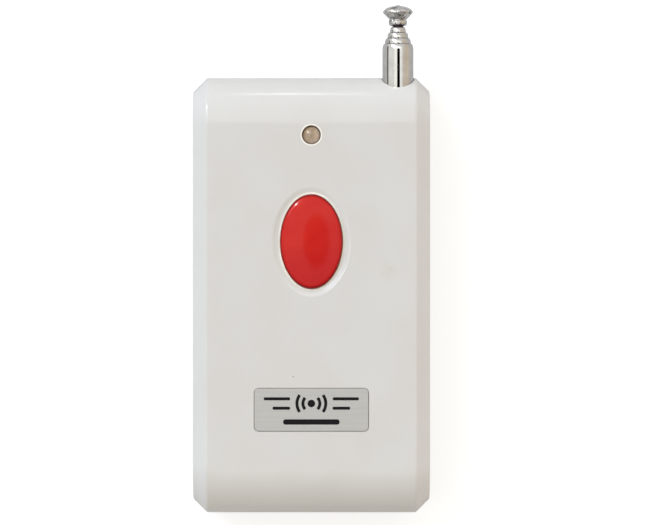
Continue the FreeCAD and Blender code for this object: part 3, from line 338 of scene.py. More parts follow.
def chrome(name, wear):
    """Bright plated metal, drawn lengthwise, with finger marks, painted shade at the knob's foot
    and where the tubes end, and dark blotches where worn.
    """
    made = Finish(name, paint(198, 198, 196), 0.08, Metallic=1.0)
    marks_and_painted_shading = made.blend(made.patches(1.5 * mm, 0.35, 0.7), made.colour, paint(188, 186, 182))
    along = made.axes(made.place)["Y"]
    # Painted shade: a dark band where the knob's collar meets the outer tube.
    knob_foot_shade = made.ring(along, knob_low.y - 0.2 * mm, knob_low.y + 0.12 * mm, shade_line_softness)
    marks_and_painted_shading = made.blend(knob_foot_shade, marks_and_painted_shading, paint(46, 36, 46))
    # Painted shade: a darker line where each of the first three tubes ends under the next.
    for node in section_nodes[:3]:
        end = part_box(node)[1].y
        tube_end_shade = made.ring(along, end - 0.05 * mm, end + 0.08 * mm, shade_line_softness)
        marks_and_painted_shading = made.blend(made.times(tube_end_shade, 0.7), marks_and_painted_shading, paint(112, 102, 116))
    if wear > 0:
        # Where the chrome is worn, dark blotches are painted in soft patches.
        dark_blotches = made.between(made.noise(0.6 * mm, 2.0), 0.0, 0.8, 0.56, 0.62)
        marks_and_painted_shading = made.blend(dark_blotches, marks_and_painted_shading, paint(70, 60, 66))
    made.coloured(marks_and_painted_shading)
    drawn = made.noise(0.25 * mm, 3.0, stretch=(1.0, 0.05, 1.0))
    marks = made.times(made.noise(1.2 * mm), 0.5)
    made.roughness_from(made.combine("ADD", marks, made.times(drawn, 0.5)), 0.03, 0.11)
    made.relief(drawn, 0.002 * mm, 0.25)
    made.relief(made.noise(1.1 * mm, 2.0), 0.012 * mm, 0.2)
    if wear > 0:
        made.relief(made.noise(0.8 * mm, 2.5), wear, 1.0)
    return made.material


def plain_metal(name, colour, other, roughness, grain):
    """A dull plated or turned metal with fine tool marks."""
    made = Finish(name, colour, roughness, Metallic=1.0)
    made.colour_from(made.patches(4 * grain), other)
    made.roughness_from(made.noise(grain), roughness - 0.06, roughness + 0.1)
    made.relief(made.noise(grain * 0.5, 4.0), 0.004 * mm, 0.3)
    return made.material


def plain_plastic(name, colour, other, roughness):
    """A matt moulded or fired insulator with a fine grain."""
    made = Finish(name, colour, roughness)
    made.colour_from(made.patches(1.1 * mm), other)
    made.roughness_from(made.noise(0.4 * mm), roughness - 0.05, roughness + 0.1)
    made.relief(made.spots(0.12 * mm), 0.004 * mm, 0.3)
    return made.material


def board_laminate():
    """Green lacquered glass laminate, with the weave just showing and copper tracks beneath."""
    made = Finish("board_laminate", paint(28, 84, 50), 0.35)
    weave = made.times(made.bands(0.5 * mm, "X"), made.bands(0.5 * mm, "Y"))
    across, along = (made.rise(made.bands(1.5 * mm, axis), 0.72, 0.8) for axis in "XY")
    tracks = made.blend(made.patches(7 * mm, 0.49, 0.51, 0.0), across, along)
    lacquer = made.blend(weave, made.colour, paint(34, 96, 58))
    made.coloured(made.blend(tracks, lacquer, paint(44, 112, 66)))
    made.roughness_from(weave, 0.28, 0.42)
    made.relief(weave, 0.01 * mm, 0.3)
    made.relief(tracks, 0.03 * mm, 0.5)
    return made.material


def copper_winding():
    """Enamelled copper wire wound in close turns."""
    made = Finish("copper_winding", paint(168, 92, 50), 0.3, Metallic=0.85)
    turns = made.bands(0.16 * mm, "Z", 0.3)
    made.colour_from(made.rise(turns, 0.1, 0.8), paint(206, 126, 72))
    made.roughness_from(turns, 0.22, 0.4)
    made.relief(turns, 0.05 * mm, 0.8)
    return made.material


def battery_jacket():
    """Shrunk film: dark along the body, with a pale band at the positive end, and bare ends."""
    made = Finish("battery_jacket", paint(48, 52, 58), 0.28, Coat_Weight=0.3)
    low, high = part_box("battery")
    band_start = high.x - (high.x - low.x) * 0.3
    band = made.rise(made.axes(made.place)["X"], band_start, band_start + 0.05 * mm)
    body = made.blend(made.noise(2 * mm), made.colour, paint(60, 64, 70))
    body = made.blend(band, body, paint(196, 158, 70))
    middle = (0, -(low.y + high.y) / 2, -(low.z + high.z) / 2)
    from_axis = made.vectors("LENGTH", made.stretched((0, 1, 1), middle))
    bare = made.fall(from_axis, battery_rim - 0.1 * mm, battery_rim)
    made.coloured(made.blend(bare, body, paint(186, 186, 184)))
    made.join(bare, made.shader.inputs["Metallic"])
    made.roughness_from(made.noise(1.5 * mm), 0.22, 0.36)
    made.relief(made.noise(1.8 * mm, 3.0), 0.04 * mm, 0.3)
    return made.material


def print_ink():
    """Black screen ink on the label."""
    made = Finish("print_ink", paint(12, 12, 14), 0.4, Specular_IOR_Level=0.1)
    made.colour_from(made.noise(0.2 * mm), paint(26, 25, 27))
    made.roughness_from(made.noise(0.15 * mm), 0.34, 0.5)
    made.relief(made.noise(0.1 * mm), 0.003 * mm, 0.4)
    return made.material


finishes = {
    "white_plastic": white_moulding(),
    "red_plastic": red_moulding(),
    "label_metal": brushed_label(),
    "clear_resin": lamp_resin(),
    "chrome_plate": chrome("bright_chrome", 0.0),
    "bronze_sleeve": plain_metal(
        "spring_bronze", paint(176, 128, 78), paint(150, 104, 62), 0.34, 0.3 * mm
    ),
    "brass_turned": plain_metal(
        "turned_brass", paint(206, 172, 104), paint(188, 152, 88), 0.28, 0.25 * mm
    ),
    "screw_steel": plain_metal(
        "screw_steel", paint(150, 150, 152), paint(120, 120, 124), 0.32, 0.2 * mm
    ),
    "tinned_steel": plain_metal(
        "tinned_steel", paint(196, 196, 196), paint(176, 177, 180), 0.3, 0.4 * mm
    ),
    "board_laminate": board_laminate(),
    "black_plastic": plain_plastic("black_moulding", paint(38, 38, 40), paint(50, 49, 50), 0.45),
    "copper_wire": copper_winding(),
    "capacitor_ceramic": plain_plastic(
        "fired_ceramic", paint(168, 134, 96), paint(150, 116, 80), 0.5
    ),
    "battery_jacket": battery_jacket(),
}
ink = print_ink()
worn_chrome = chrome("worn_chrome", 0.35 * mm)


# Mesh making

def scene_object(name, data):
    """A new object in the scene."""
    made = bpy.data.objects.new(name, data)
    bpy.context.scene.collection.objects.link(made)
    return made


def mesh_piece(name, vertices, faces, material, smooth_angle=40):
    """A mesh object in the part's own frame, with its faces turned outwards and its shading set."""
    mesh = bpy.data.meshes.new(name)
    mesh.from_pydata(vertices, [], faces)
    mesh.update()
    mesh.materials.append(material)
    settle_mesh(mesh, smooth_angle)
    return scene_object(name, mesh)


def settle_mesh(mesh, smooth_angle):
    """Doubles are merged, the faces turned outwards, and steeper edges kept sharp."""
    work = bmesh.new()
    work.from_mesh(mesh)
    bmesh.ops.remove_doubles(work, verts=work.verts, dist=1e-7)
    bmesh.ops.recalc_face_normals(work, faces=work.faces)
    work.to_mesh(mesh)
    work.free()
    mesh.shade_smooth()
    mesh.set_sharp_from_angle(angle=math.radians(smooth_angle))


def rounded_outline(corners, steps=8):
    """Points along an outline whose corners are given as (radius, along, rounding)."""
    points = []
    for index, (radius, along, rounding) in enumerate(corners):
        corner = Vector((radius, along))
        if rounding == 0:
            points.append(corner)
            continue
        back = (Vector(corners[index - 1][:2]) - corner).normalized()
        onward = (Vector(corners[(index + 1) % len(corners)][:2]) - corner).normalized()
        half_angle = back.angle(onward) / 2
        reach = rounding / math.tan(half_angle)
        middle = corner + (back + onward).normalized() * (rounding / math.sin(half_angle))
        first = corner + back * reach - middle
        sweep = first.angle_signed(corner + onward * reach - middle)
        for step in range(steps + 1):
            turn = -sweep * step / steps
            spoke = Vector((first.x * math.cos(turn) - first.y * math.sin(turn),
                            first.x * math.sin(turn) + first.y * math.cos(turn)))
            points.append(middle + spoke)
    return points


class Shape(Nodes):
    """A Geometry Nodes tree with named inputs for its sizes."""

    prefix = "GeometryNode"
    kinds = {float: "NodeSocketFloat", int: "NodeSocketInt", tuple: "NodeSocketVector"}

    def __init__(self, name, sizes):
        super().__init__(bpy.data.node_groups.new(name, "GeometryNodeTree"))
        face = self.tree.interface
        face.new_socket(name="Source", in_out="INPUT", socket_type="NodeSocketGeometry")
        for size, value in sizes.items():
            kind = self.kinds[type(value)]
            face.new_socket(name=size, in_out="INPUT", socket_type=kind).default_value = value
        face.new_socket(name="Finish", in_out="INPUT", socket_type="NodeSocketMaterial")
        face.new_socket(name="Piece", in_out="OUTPUT", socket_type="NodeSocketGeometry")
        self.given = self.add("NodeGroupInput").outputs

    def joined(self, *pieces):
        """Several geometries as one."""
        made = self.add("GeometryNodeJoinGeometry")
        for piece in pieces:
            self.join(piece, made.inputs[0])
        return made.outputs[0]

    def close(self, geometry):
        """The end of the tree: real geometry, with its finish."""
        real = self.node("RealizeInstances", "Geometry", Geometry=geometry)
        finished = self.node("SetMaterial", "Geometry", Geometry=real,
                             Material=self.given["Finish"])
        self.join(finished, self.add("NodeGroupOutput").inputs["Piece"])

    def make(self, name, points, material, smooth_angle=40, **sizes):
        """The tree's result on some points, as a plain mesh object."""
        source = bpy.data.meshes.new(name)
        source.from_pydata(points, [], [])
        piece = scene_object(name, source)
        modifier = piece.modifiers.new("shape", "NODES")
        modifier.node_group = self.tree
        sizes = {size.replace("_", " "): value for size, value in sizes.items()}
        sizes["Finish"] = material
        for item in self.tree.interface.items_tree:
            if item.in_out == "INPUT" and item.name in sizes:
                modifier[item.identifier] = sizes[item.name]
        seen = piece.evaluated_get(bpy.context.evaluated_depsgraph_get())
        mesh = bpy.data.meshes.new_from_object(seen)
        piece.modifiers.clear()
        piece.data = mesh
        settle_mesh(mesh, smooth_angle)
        return piece


along_x = (0.0, pi / 2, 0.0)
along_y = (-pi / 2, 0.0, 0.0)
upright = (0.0, 0.0, 0.0)


def turning_tree():
    """Turns its source's points, given as (radius, along), round an axis into a closed piece."""
    shape = Shape("turned_piece", {"Segments": 96, "Place": (0.0, 0.0, 0.0), "Lean": upright})
    outline = shape.given["Source"]
    segments = shape.given["Segments"]
    columns = shape.combine("ADD", segments, 1.0)
    rows = shape.node("AttributeDomainSize", "Point Count", {"component": "MESH"},
                      Geometry=outline)
    grid = shape.node("MeshGrid", "Mesh", Vertices_X=rows, Vertices_Y=columns)
    index = shape.node("InputIndex", "Index")
    row = shape.combine("FLOOR", shape.combine("DIVIDE", index, columns))
    column = shape.combine("SUBTRACT", index, shape.times(row, columns))
    place = shape.node("InputPosition", "Position")
    corner = shape.node("SampleIndex", "Value", {"data_type": "FLOAT_VECTOR"},
                        Geometry=outline, Value=place, Index=row)
    radius, along, _ = shape.axes(corner)
    angle = shape.times(column, shape.combine("DIVIDE", 2 * pi, segments))
    across = shape.times(radius, shape.combine("COSINE", angle))
    up = shape.times(radius, shape.combine("SINE", angle))
    turned_grid = shape.node("SetPosition", "Geometry", Geometry=grid,
                             Position=shape.point(across, up, along))
    closed = shape.node("MergeByDistance", "Geometry", Geometry=turned_grid, Distance=0.001 * mm)
    laid = shape.node("Transform", "Geometry", Geometry=closed, Translation=shape.given["Place"],
                      Rotation=shape.given["Lean"])
    shape.close(laid)
    return shape


turning = turning_tree()


def turned(name, outline, place, lean, material, segments=96, smooth_angle=40):
    """A piece turned round an axis through a place, from an outline of (radius, along) points."""
    points = [(radius, along, 0.0) for radius, along in outline]
    return turning.make(name, points, material, smooth_angle, Segments=segments, Place=place,
                        Lean=lean)


def row_faces(rows):
    """The faces between rows of points, where a row of one point is a pole."""
    faces = []
    for low, high in zip(rows, rows[1:]):
        count = max(len(low), len(high))
        for step in range(count):
            onward = (step + 1) % count
            loop = [low[step % len(low)], low[onward % len(low)],
                    high[onward % len(high)], high[step % len(high)]]
            faces.append(list(dict.fromkeys(loop)))
    return faces


# Antenna

section_bodies = ["housing", "antenna_section_2", "antenna_section_3", "antenna_section_4"]
tube_wall = 0.25 * mm
mouth_gap = 0.05 * mm
mouth_length = 0.45 * mm
mouth_flat = 0.06 * mm
mouth_edge = 0.05 * mm
first_shoulder = 1.0 * mm
shoulder_share = 0.96
shoulder_steps = 12


def section_radius(index):
    """Outer radius of one antenna section, from its solid."""
    low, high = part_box(section_nodes[index])
    return (high.x - low.x) / 2


def antenna_sections():
    """The four tubes, each with its upper end rolled in over the next one."""
    below = outer_high.y - first_shoulder
    for index in range(4):
        low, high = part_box(section_nodes[index])
        radius = section_radius(index)
        bore = radius - tube_wall
        mouth = section_radius(index + 1) + mouth_gap
        flat = mouth + mouth_flat
        shoulder = shoulder_share * (high.y - below)
        below = high.y
        outline = [Vector((bore, low.y)), Vector((radius, low.y))]
        for step in range(shoulder_steps + 1):
            angle = pi / 2 * step / shoulder_steps
            outline.append(Vector((flat + (radius - flat) * math.cos(angle),
                                   high.y - shoulder + shoulder * math.sin(angle))))
        outline += [
            Vector((mouth, high.y - mouth_edge)),
            Vector((mouth, high.y - mouth_length)),
            Vector((bore, high.y - mouth_length - (bore - mouth))),
        ]
        name = "plated_section_%d" % (index + 1)
        tube = turned(name, outline + outline[:1], antenna_axis, along_y, finishes["chrome_plate"])
        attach(tube, section_bodies[index])
        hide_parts(section_nodes[index])


def antenna_knob():
    """The turned knob: a collar, a waist and a wide domed head with a small pip."""
    low = knob_low.y
    top = knob_high.y
    half = (knob_high.x - knob_low.x) / 2
    rod = section_radius(4) + 0.01 * mm
    socket = low + 2.0 * mm
    belt = top - 1.2 * mm
    collar = [(1.12, 0.0, 0.05), (1.5, 0.24, 0.2), (1.47, 0.8, 0.14), (1.34, 1.0, 0.1)]
    outline = rounded_outline([
        (0, socket, 0),
        (rod, socket, 0),
        (rod, low, 0),
        *((radius * mm, low + up * mm, rounding * mm) for radius, up, rounding in collar),
        (half, belt, 0.16 * mm),
        (half - 0.02 * mm, belt + 0.1 * mm, 0),
    ])
    dome_steps = 14
    dome_height = top - 0.06 * mm - belt
    for step in range(2, dome_steps):
        angle = pi / 2 * step / dome_steps
        outline.append(Vector((half * math.cos(angle), belt + dome_height * math.sin(angle))))
    outline += rounded_outline([
        (0.4 * mm, top - 0.05 * mm, 0),
        (0.3 * mm, top, 0.1 * mm),
        (0, top, 0),
    ])
    knob = turned("plated_knob", outline, antenna_axis, along_y, worn_chrome)
    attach(knob, "antenna_tip")
    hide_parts("antenna_knob")


# Push button and lamp

cap_flange_thickness = 0.9 * mm
cap_flange_drop = 1.65 * mm
cap_rim = 0.55 * mm
cap_dome = 0.45 * mm
cap_wall = 1.1 * mm
cap_crown = 1.2 * mm
cap_crown_steps = 16
cap_rim_steps = 12
stem_radius = 1.9 * mm
oval_segments = 128
lip_gap = 0.04 * mm
lip_rounding = 0.03 * mm
lip_foot = 0.2 * mm
lamp_flange_thickness = 1.0 * mm
lamp_dome_share = 0.95


def oval_rings(name, rim_highlights, material, centre_y):
    """A piece lofted through level ovals given as (half width, half length, height)."""
    vertices = []
    rows = []
    for half_x, half_y, z in rim_highlights:
        row = []
        for step in range(1 if half_x < 1e-9 else oval_segments):
            angle = 2 * pi * step / oval_segments
            row.append(len(vertices))
            vertices.append((half_x * math.cos(angle), centre_y + half_y * math.sin(angle), z))
        rows.append(row)
    return mesh_piece(name, vertices, row_faces(rows), material, 35)


def push_button():
    """The oval cap: a domed crown that rolls over a soft rim, hollow underneath round its stem."""
    half_x = cap_half_x
    half_y = cap_half_y
    top = cap_high.z
    edge = top - cap_dome
    rim_highlights = [(0, 0, top)]
    for step in range(1, cap_crown_steps + 1):
        share = step / cap_crown_steps
        height = top - cap_dome * share ** 2
        rim_highlights.append((share * (half_x - cap_rim), share * (half_y - cap_rim), height))
    lean = math.atan(2 * cap_dome / (half_x - cap_rim))
    round_over = cap_rim / (1 - math.sin(lean))
    for step in range(1, cap_rim_steps + 1):
        angle = lean + (pi / 2 - lean) * step / cap_rim_steps
        inset = round_over * (1 - math.sin(angle))
        height = edge - round_over * (math.cos(lean) - math.cos(angle))
        rim_highlights.append((half_x - inset, half_y - inset, height))
    flange_top = face_z - cap_flange_drop
    foot = flange_top - cap_flange_thickness
    ceiling = edge - cap_crown
    rim_highlights += [
        (half_x, half_y, flange_top),
        (half_x + cap_flange, half_y + cap_flange, flange_top),
        (half_x + cap_flange, half_y + cap_flange, foot),
        (half_x - cap_wall, half_y - cap_wall, foot),
        (half_x - cap_wall, half_y - cap_wall, ceiling),
        (stem_radius, stem_radius, ceiling),
        (stem_radius, stem_radius, cap_low.z),
        (0, 0, cap_low.z),
    ]
    cap = oval_rings("button_dome", rim_highlights, finishes["red_plastic"], button_y)
    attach(cap, "button")
    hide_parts("button_cap")


def hole_lip(name, centre_y, half_x, half_y, top, width):
    """The thin raised lip that the moulding has round the hole of an oval piece."""
    foot = top - lip_foot
    edge = top - lip_rounding
    section = [(0, foot), (0, edge), (lip_rounding, top), (width - lip_rounding, top),
               (width, edge), (width, foot), (0, foot)]
    rim_highlights = [(half_x + lip_gap + out, half_y + lip_gap + out, z) for out, z in section]
    lip = oval_rings(name, rim_highlights, finishes["white_plastic"], centre_y)
    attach(lip, "housing")


def indicator_lamp():
    """The lamp's clear body with a round end, and the flange at its foot."""
    flange = (lamp_high.x - lamp_low.x) / 2
    low = lamp_low.z
    shoulder = low + lamp_flange_thickness
    top = lamp_high.z
    corners = [
        (0, low, 0),
        (flange, low, 0.05 * mm),
        (flange, shoulder, 0.08 * mm),
        (lens_radius, shoulder, 0.05 * mm),
        (lens_radius, top, lens_radius * lamp_dome_share),
        (0, top, 0),
    ]
    lamp = turned("lamp_lens", rounded_outline(corners, 14), (0.0, lamp_y, 0.0), upright,
                  finishes["clear_resin"], 64, 60)
    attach(lamp, "housing")
    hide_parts("indicator_led")


# Battery, its spring, and the case screws

spring_wire = 0.3 * mm
spring_narrowing = 1.2 * mm
spring_points = 260
spring_wire_sides = 14
screw_sides = 48
screw_point = 0.8 * mm
thread_ridge = 0.2 * mm


def battery_cell():
    """The small alarm battery: a jacket shrunk over both rims, and a raised positive contact."""
    low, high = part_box("battery")
    radius = (high.y - low.y) / 2
    length = high.x - low.x
    body = length - 0.8 * mm
    outline = rounded_outline([
        (0, 0, 0),
        (3.8 * mm, 0, 0.05 * mm),
        (3.9 * mm, 0.2 * mm, 0.05 * mm),
        (battery_rim, 0.2 * mm, 0),
        (4.2 * mm, 0.04 * mm, 0.05 * mm),
        (radius, 0.04 * mm, 0.35 * mm),
        (radius, body, 0.35 * mm),
        (battery_rim, body, 0.06 * mm),
        (4.05 * mm, body - 0.2 * mm, 0),
        (2.25 * mm, body - 0.2 * mm, 0.1 * mm),
        (2.2 * mm, length, 0.25 * mm),
        (0, length, 0),
    ])
    place = (low.x, (low.y + high.y) / 2, (low.z + high.z) / 2)
    cell = turned("battery_cell", outline, place, along_x, finishes["battery_jacket"])
    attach(cell, "housing")
    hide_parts("battery")


def spring_tree():
    """A conical spring along X whose end turns lie flat."""
    shape = Shape("battery_spring", {
        "Wire Radius": spring_wire, "Start Radius": 3 * mm, "End Radius": 2 * mm,
        "Length": 3 * mm, "Turns": 3.0, "Place": (0.0, 0.0, 0.0),
    })
    sizes = shape.given
    line = shape.node("CurvePrimitiveLine", "Curve")
    line = shape.node("ResampleCurve", "Curve", Curve=line, Count=spring_points)
    share = shape.node("SplineParameter", "Factor")
    rise = shape.rise(share, 0.15, 0.88)
    angle = shape.times(share, shape.times(sizes["Turns"], 2 * pi))
    narrowing = shape.combine("SUBTRACT", sizes["End Radius"], sizes["Start Radius"])
    radius = shape.combine("ADD", sizes["Start Radius"], shape.times(rise, narrowing))
    run = shape.point(
        shape.times(rise, sizes["Length"]),
        shape.times(radius, shape.combine("COSINE", angle)),
        shape.times(radius, shape.combine("SINE", angle)),
    )
    line = shape.node("SetPosition", "Geometry", Geometry=line, Position=run)
    ring = shape.node("CurvePrimitiveCircle", "Curve", Resolution=spring_wire_sides,
                      Radius=sizes["Wire Radius"])
    wire = shape.node("CurveToMesh", "Mesh", Curve=line, Profile_Curve=ring, Fill_Caps=True)
    shape.close(shape.node("Transform", "Geometry", Geometry=wire, Translation=sizes["Place"]))
    return shape


def battery_spring():
    """The wire spring between the negative contact and the battery."""
    low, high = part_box("negative_spring")
    widest = (high.y - low.y) / 2 - spring_wire
    place = (low.x + spring_wire, (low.y + high.y) / 2, (low.z + high.z) / 2)
    spring = spring_tree().make("wire_spring", [(0, 0, 0)], finishes["tinned_steel"],
                                Start_Radius=widest, End_Radius=widest - spring_narrowing,
                                Length=high.x - low.x - 2 * spring_wire, Place=place)
    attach(spring, "housing")
    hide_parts("negative_spring")


def screw_tree():
    """A pan-head screw with a cross recess and a cut thread, put on each point of the source."""
    shape = Shape("case_screw", {
        "Head Radius": 1.95 * mm, "Head Height": 1.2 * mm, "Bevel": 0.4 * mm,
        "Core Radius": 0.8 * mm, "Thread Radius": 1.1 * mm, "Pitch": 0.8 * mm, "Length": 9 * mm,
        "Recess Width": 0.5 * mm, "Recess Length": 2.4 * mm, "Recess Depth": 0.7 * mm,
    })
    sizes = shape.given

    def moved(geometry, height):
        return shape.node("Transform", "Geometry", Geometry=geometry,
                          Translation=shape.point(0.0, 0.0, height))

    def bar(radius, low, high):
        depth = shape.combine("SUBTRACT", high, low)
        made = shape.node("MeshCylinder", "Mesh", Vertices=screw_sides, Radius=radius, Depth=depth)
        return moved(made, shape.combine("ADD", low, shape.times(depth, 0.5)))

    def boolean(operation, first, second):
        made = shape.add("GeometryNodeMeshBoolean", operation=operation)
        shape.join(first, made.inputs[0 if operation == "DIFFERENCE" else 1])
        shape.join(second, made.inputs[1])
        return made.outputs[0]

    rim_radius = shape.combine("SUBTRACT", sizes["Head Radius"], sizes["Bevel"])
    slope = shape.combine("SUBTRACT", rim_radius, sizes["Bevel"])
    far_radius = shape.combine("ADD", sizes["Head Radius"], sizes["Head Height"])
    flare = shape.combine("SUBTRACT", far_radius, slope)
    cone = shape.node("MeshCone", "Mesh", Vertices=screw_sides, Radius_Top=far_radius,
                      Radius_Bottom=slope, Depth=flare)
    cone = moved(cone, shape.times(sizes["Bevel"], -1.0))
    head = boolean("INTERSECT", bar(sizes["Head Radius"], 0.0, sizes["Head Height"]), cone)
    deep = shape.times(sizes["Recess Depth"], 2.0)
    for long_x, long_y in (("Recess Length", "Recess Width"), ("Recess Width", "Recess Length")):
        size = shape.point(sizes[long_x], sizes[long_y], deep)
        slot = shape.node("MeshCube", "Mesh", Size=size)
        head = boolean("DIFFERENCE", head, slot)

    tip = shape.combine("SUBTRACT", sizes["Length"], screw_point)
    shank = bar(sizes["Core Radius"], sizes["Head Height"], tip)
    point = shape.node("MeshCone", "Mesh", Vertices=screw_sides,
                       Radius_Top=sizes["Core Radius"], Radius_Bottom=sizes["Core Radius"],
                       Depth=screw_point)
    point = moved(point, tip)
    run = shape.combine("SUBTRACT", tip, sizes["Head Height"])
    turns = shape.combine("DIVIDE", run, sizes["Pitch"])
    crest = shape.combine("SUBTRACT", sizes["Thread Radius"], thread_ridge)
    spiral = shape.node("CurveSpiral", "Curve", Resolution=28, Rotations=turns,
                        Start_Radius=crest, End_Radius=crest, Height=run)
    ridge = shape.node("CurvePrimitiveCircle", "Curve", Resolution=4, Radius=thread_ridge)
    thread = shape.node("CurveToMesh", "Mesh", Curve=spiral, Profile_Curve=ridge, Fill_Caps=True)
    thread = moved(thread, sizes["Head Height"])
    screw = shape.joined(head, shank, point, thread)
    places = shape.node("MeshToPoints", "Points", Mesh=sizes["Source"])
    shape.close(shape.node("InstanceOnPoints", "Instances", Points=places, Instance=screw))
    return shape


def case_screws():
    """The four screws in the rear cover's pockets, where the solids are."""
    low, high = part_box("case_screws")
    corners = {}
    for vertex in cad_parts["case_screws"].data.vertices:
        corners.setdefault((vertex.co.x > 0, vertex.co.y > 0), []).append(vertex.co)
    places = []
    for side in sorted(corners):
        across = [co.x for co in corners[side]]
        along = [co.y for co in corners[side]]
        places.append(((min(across) + max(across)) / 2, (min(along) + max(along)) / 2, low.z))
    screws = screw_tree().make("pan_head_screws", places, finishes["screw_steel"], 35,
                               Length=high.z - low.z)
    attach(screws, "housing")
    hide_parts("case_screws")


# Label plate with its printed signal mark

label_corner = 0.7 * mm
label_bevel = 0.05 * mm
ink_rise = 0.02 * mm
half_stroke = 0.24 * mm
signal_up = 1.0 * mm
dot_radius = 0.6 * mm
arc_radii = (1.35 * mm, 2.3 * mm)
arc_spreads = (math.radians(42), math.radians(36))
side_bar_start = 3.4 * mm
side_bar_pitch = 1.5 * mm
side_bar_reaches = (2.1 * mm, 1.4 * mm)
plain_bar_down = 1.95 * mm
plain_bar_reach = 4.5 * mm
plain_bar_half = 0.42 * mm


def level_plate(name, outline, low, high, material, bevel=0.0):
    """A thin plate with an upright edge, from a flat outline of (x, y) points."""
    count = len(outline)
    vertices = [(x, y, low) for x, y in outline] + [(x, y, high) for x, y in outline]
    faces = [list(range(count - 1, -1, -1)), list(range(count, 2 * count))]
    for step in range(count):
        onward = (step + 1) % count
        faces.append([step, onward, count + onward, count + step])
    piece = mesh_piece(name, vertices, faces, material, 30)
    if bevel > 0:
        edge = piece.modifiers.new("edge", "BEVEL")
        edge.width = bevel
        edge.segments = 3
        edge.limit_method = "ANGLE"
        edge.angle_limit = math.radians(50)
        edge.harden_normals = True
    return piece


def rounded_rectangle(centre, half_x, half_y, corner, steps=8):
    """The outline of a rectangle with round corners."""
    points = []
    for quarter, (side_x, side_y) in enumerate(((1, 1), (-1, 1), (-1, -1), (1, -1))):
        middle = (centre[0] + side_x * (half_x - corner), centre[1] + side_y * (half_y - corner))
        for step in range(steps + 1):
            angle = pi / 2 * (quarter + step / steps)
            points.append((middle[0] + corner * math.cos(angle),
                           middle[1] + corner * math.sin(angle)))
    return points


def arc_band(centre, inner, outer, start, end, steps=24):
    """The outline of a band along an arc, with square ends."""
    angles = [start + (end - start) * step / steps for step in range(steps + 1)]
    turns = [(outer, angle) for angle in angles] + [(inner, angle) for angle in reversed(angles)]
    return [(centre[0] + radius * math.cos(angle), centre[1] + radius * math.sin(angle))
            for radius, angle in turns]


def label():
    """The metal plate, and on it a printed dot between arcs and short bars, above one plain bar."""
    centre = ((plate_low.x + plate_high.x) / 2, (plate_low.y + plate_high.y) / 2)
    half_x = (plate_high.x - plate_low.x) / 2
    half_y = (plate_high.y - plate_low.y) / 2
    outline = rounded_rectangle(centre, half_x, half_y, label_corner)
    plate = level_plate("label_sheet", outline, plate_low.z, plate_high.z - ink_rise,
                        finishes["label_metal"], label_bevel)
    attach(plate, "housing")
    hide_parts("label_plate")

    signal = (centre[0], centre[1] + signal_up)
    marks = {"signal_dot": arc_band(signal, 0.0, dot_radius, 0, 2 * pi - 0.001, 40)}
    for side, middle in (("right", 0), ("left", pi)):
        for pair, (radius, spread) in enumerate(zip(arc_radii, arc_spreads)):
            outline = arc_band(signal, radius - half_stroke, radius + half_stroke,
                               middle - spread, middle + spread)
            marks["signal_arc_%s_%d" % (side, pair + 1)] = outline
        for bar, reach in enumerate(side_bar_reaches):
            across = math.cos(middle) * (side_bar_start + reach)
            bar_centre = (signal[0] + across, signal[1] + (0.5 - bar) * side_bar_pitch)
            outline = rounded_rectangle(bar_centre, reach, half_stroke, 0.2 * mm)
            marks["side_bar_%s_%d" % (side, bar + 1)] = outline
    bar_centre = (centre[0], centre[1] - plain_bar_down)
    marks["plain_bar"] = rounded_rectangle(bar_centre, plain_bar_reach, plain_bar_half, 0.36 * mm)
    low = plate_high.z - 1.5 * ink_rise
    for name, outline in marks.items():
        mark = level_plate(name, outline, low, plate_high.z, ink)
        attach(mark, "housing")


# Camera, floor and light

def camera():
    """The camera at the photograph's place."""
    lens = bpy.data.cameras.new("camera")
    lens.lens = camera_lens
    lens.clip_start = 0.01
    lens.clip_end = 20
    viewer = scene_object("camera", lens)
    back = Vector((0, math.sin(camera_lean), math.cos(camera_lean)))
    viewer.location = camera_aim + back * camera_distance
    right = Vector((1, 0, 0))
    up = back.cross(right)
    viewer.rotation_mode = "QUATERNION"
    viewer.rotation_quaternion = Matrix((right, up, back)).transposed().to_quaternion()
    bpy.context.scene.camera = viewer


floor_reach = 3.0
floor_drop = 0.02 * mm
floor_glow = 0.68
floor_glow_mirrored = 0.22


def pale_floor():
    """A pale floor that shows white to the camera and keeps the part's soft shadow."""
    corners = [(side_x * floor_reach, side_y * floor_reach, 0)
               for side_x, side_y in ((-1, -1), (1, -1), (1, 1), (-1, 1))]
    floor = mesh_piece("floor", corners, [[0, 1, 2, 3]], floor_finish())
    floor.location.z = -floor_drop


def floor_finish():
    """White card that adds light of its own where the camera or a reflection sees it."""
    material = bpy.data.materials.new("floor_card")
    material.use_nodes = True
    nodes = Nodes(material.node_tree)
    shader = nodes.tree.nodes["Principled BSDF"]
    shader.inputs["Base Color"].default_value = (0.45, 0.45, 0.45, 1)
    shader.inputs["Roughness"].default_value = 0.9
    shader.inputs["Emission Color"].default_value = (1, 1, 1, 1)
    path = nodes.add("ShaderNodeLightPath")
    mirrored = nodes.combine("MAXIMUM", path.outputs["Is Glossy Ray"],
                             path.outputs["Is Transmission Ray"])
    mirrored = nodes.times(mirrored, floor_glow_mirrored)
    seen = nodes.times(path.outputs["Is Camera Ray"], floor_glow)
    nodes.join(nodes.combine("MAXIMUM", seen, mirrored), shader.inputs["Emission Strength"])
    return material


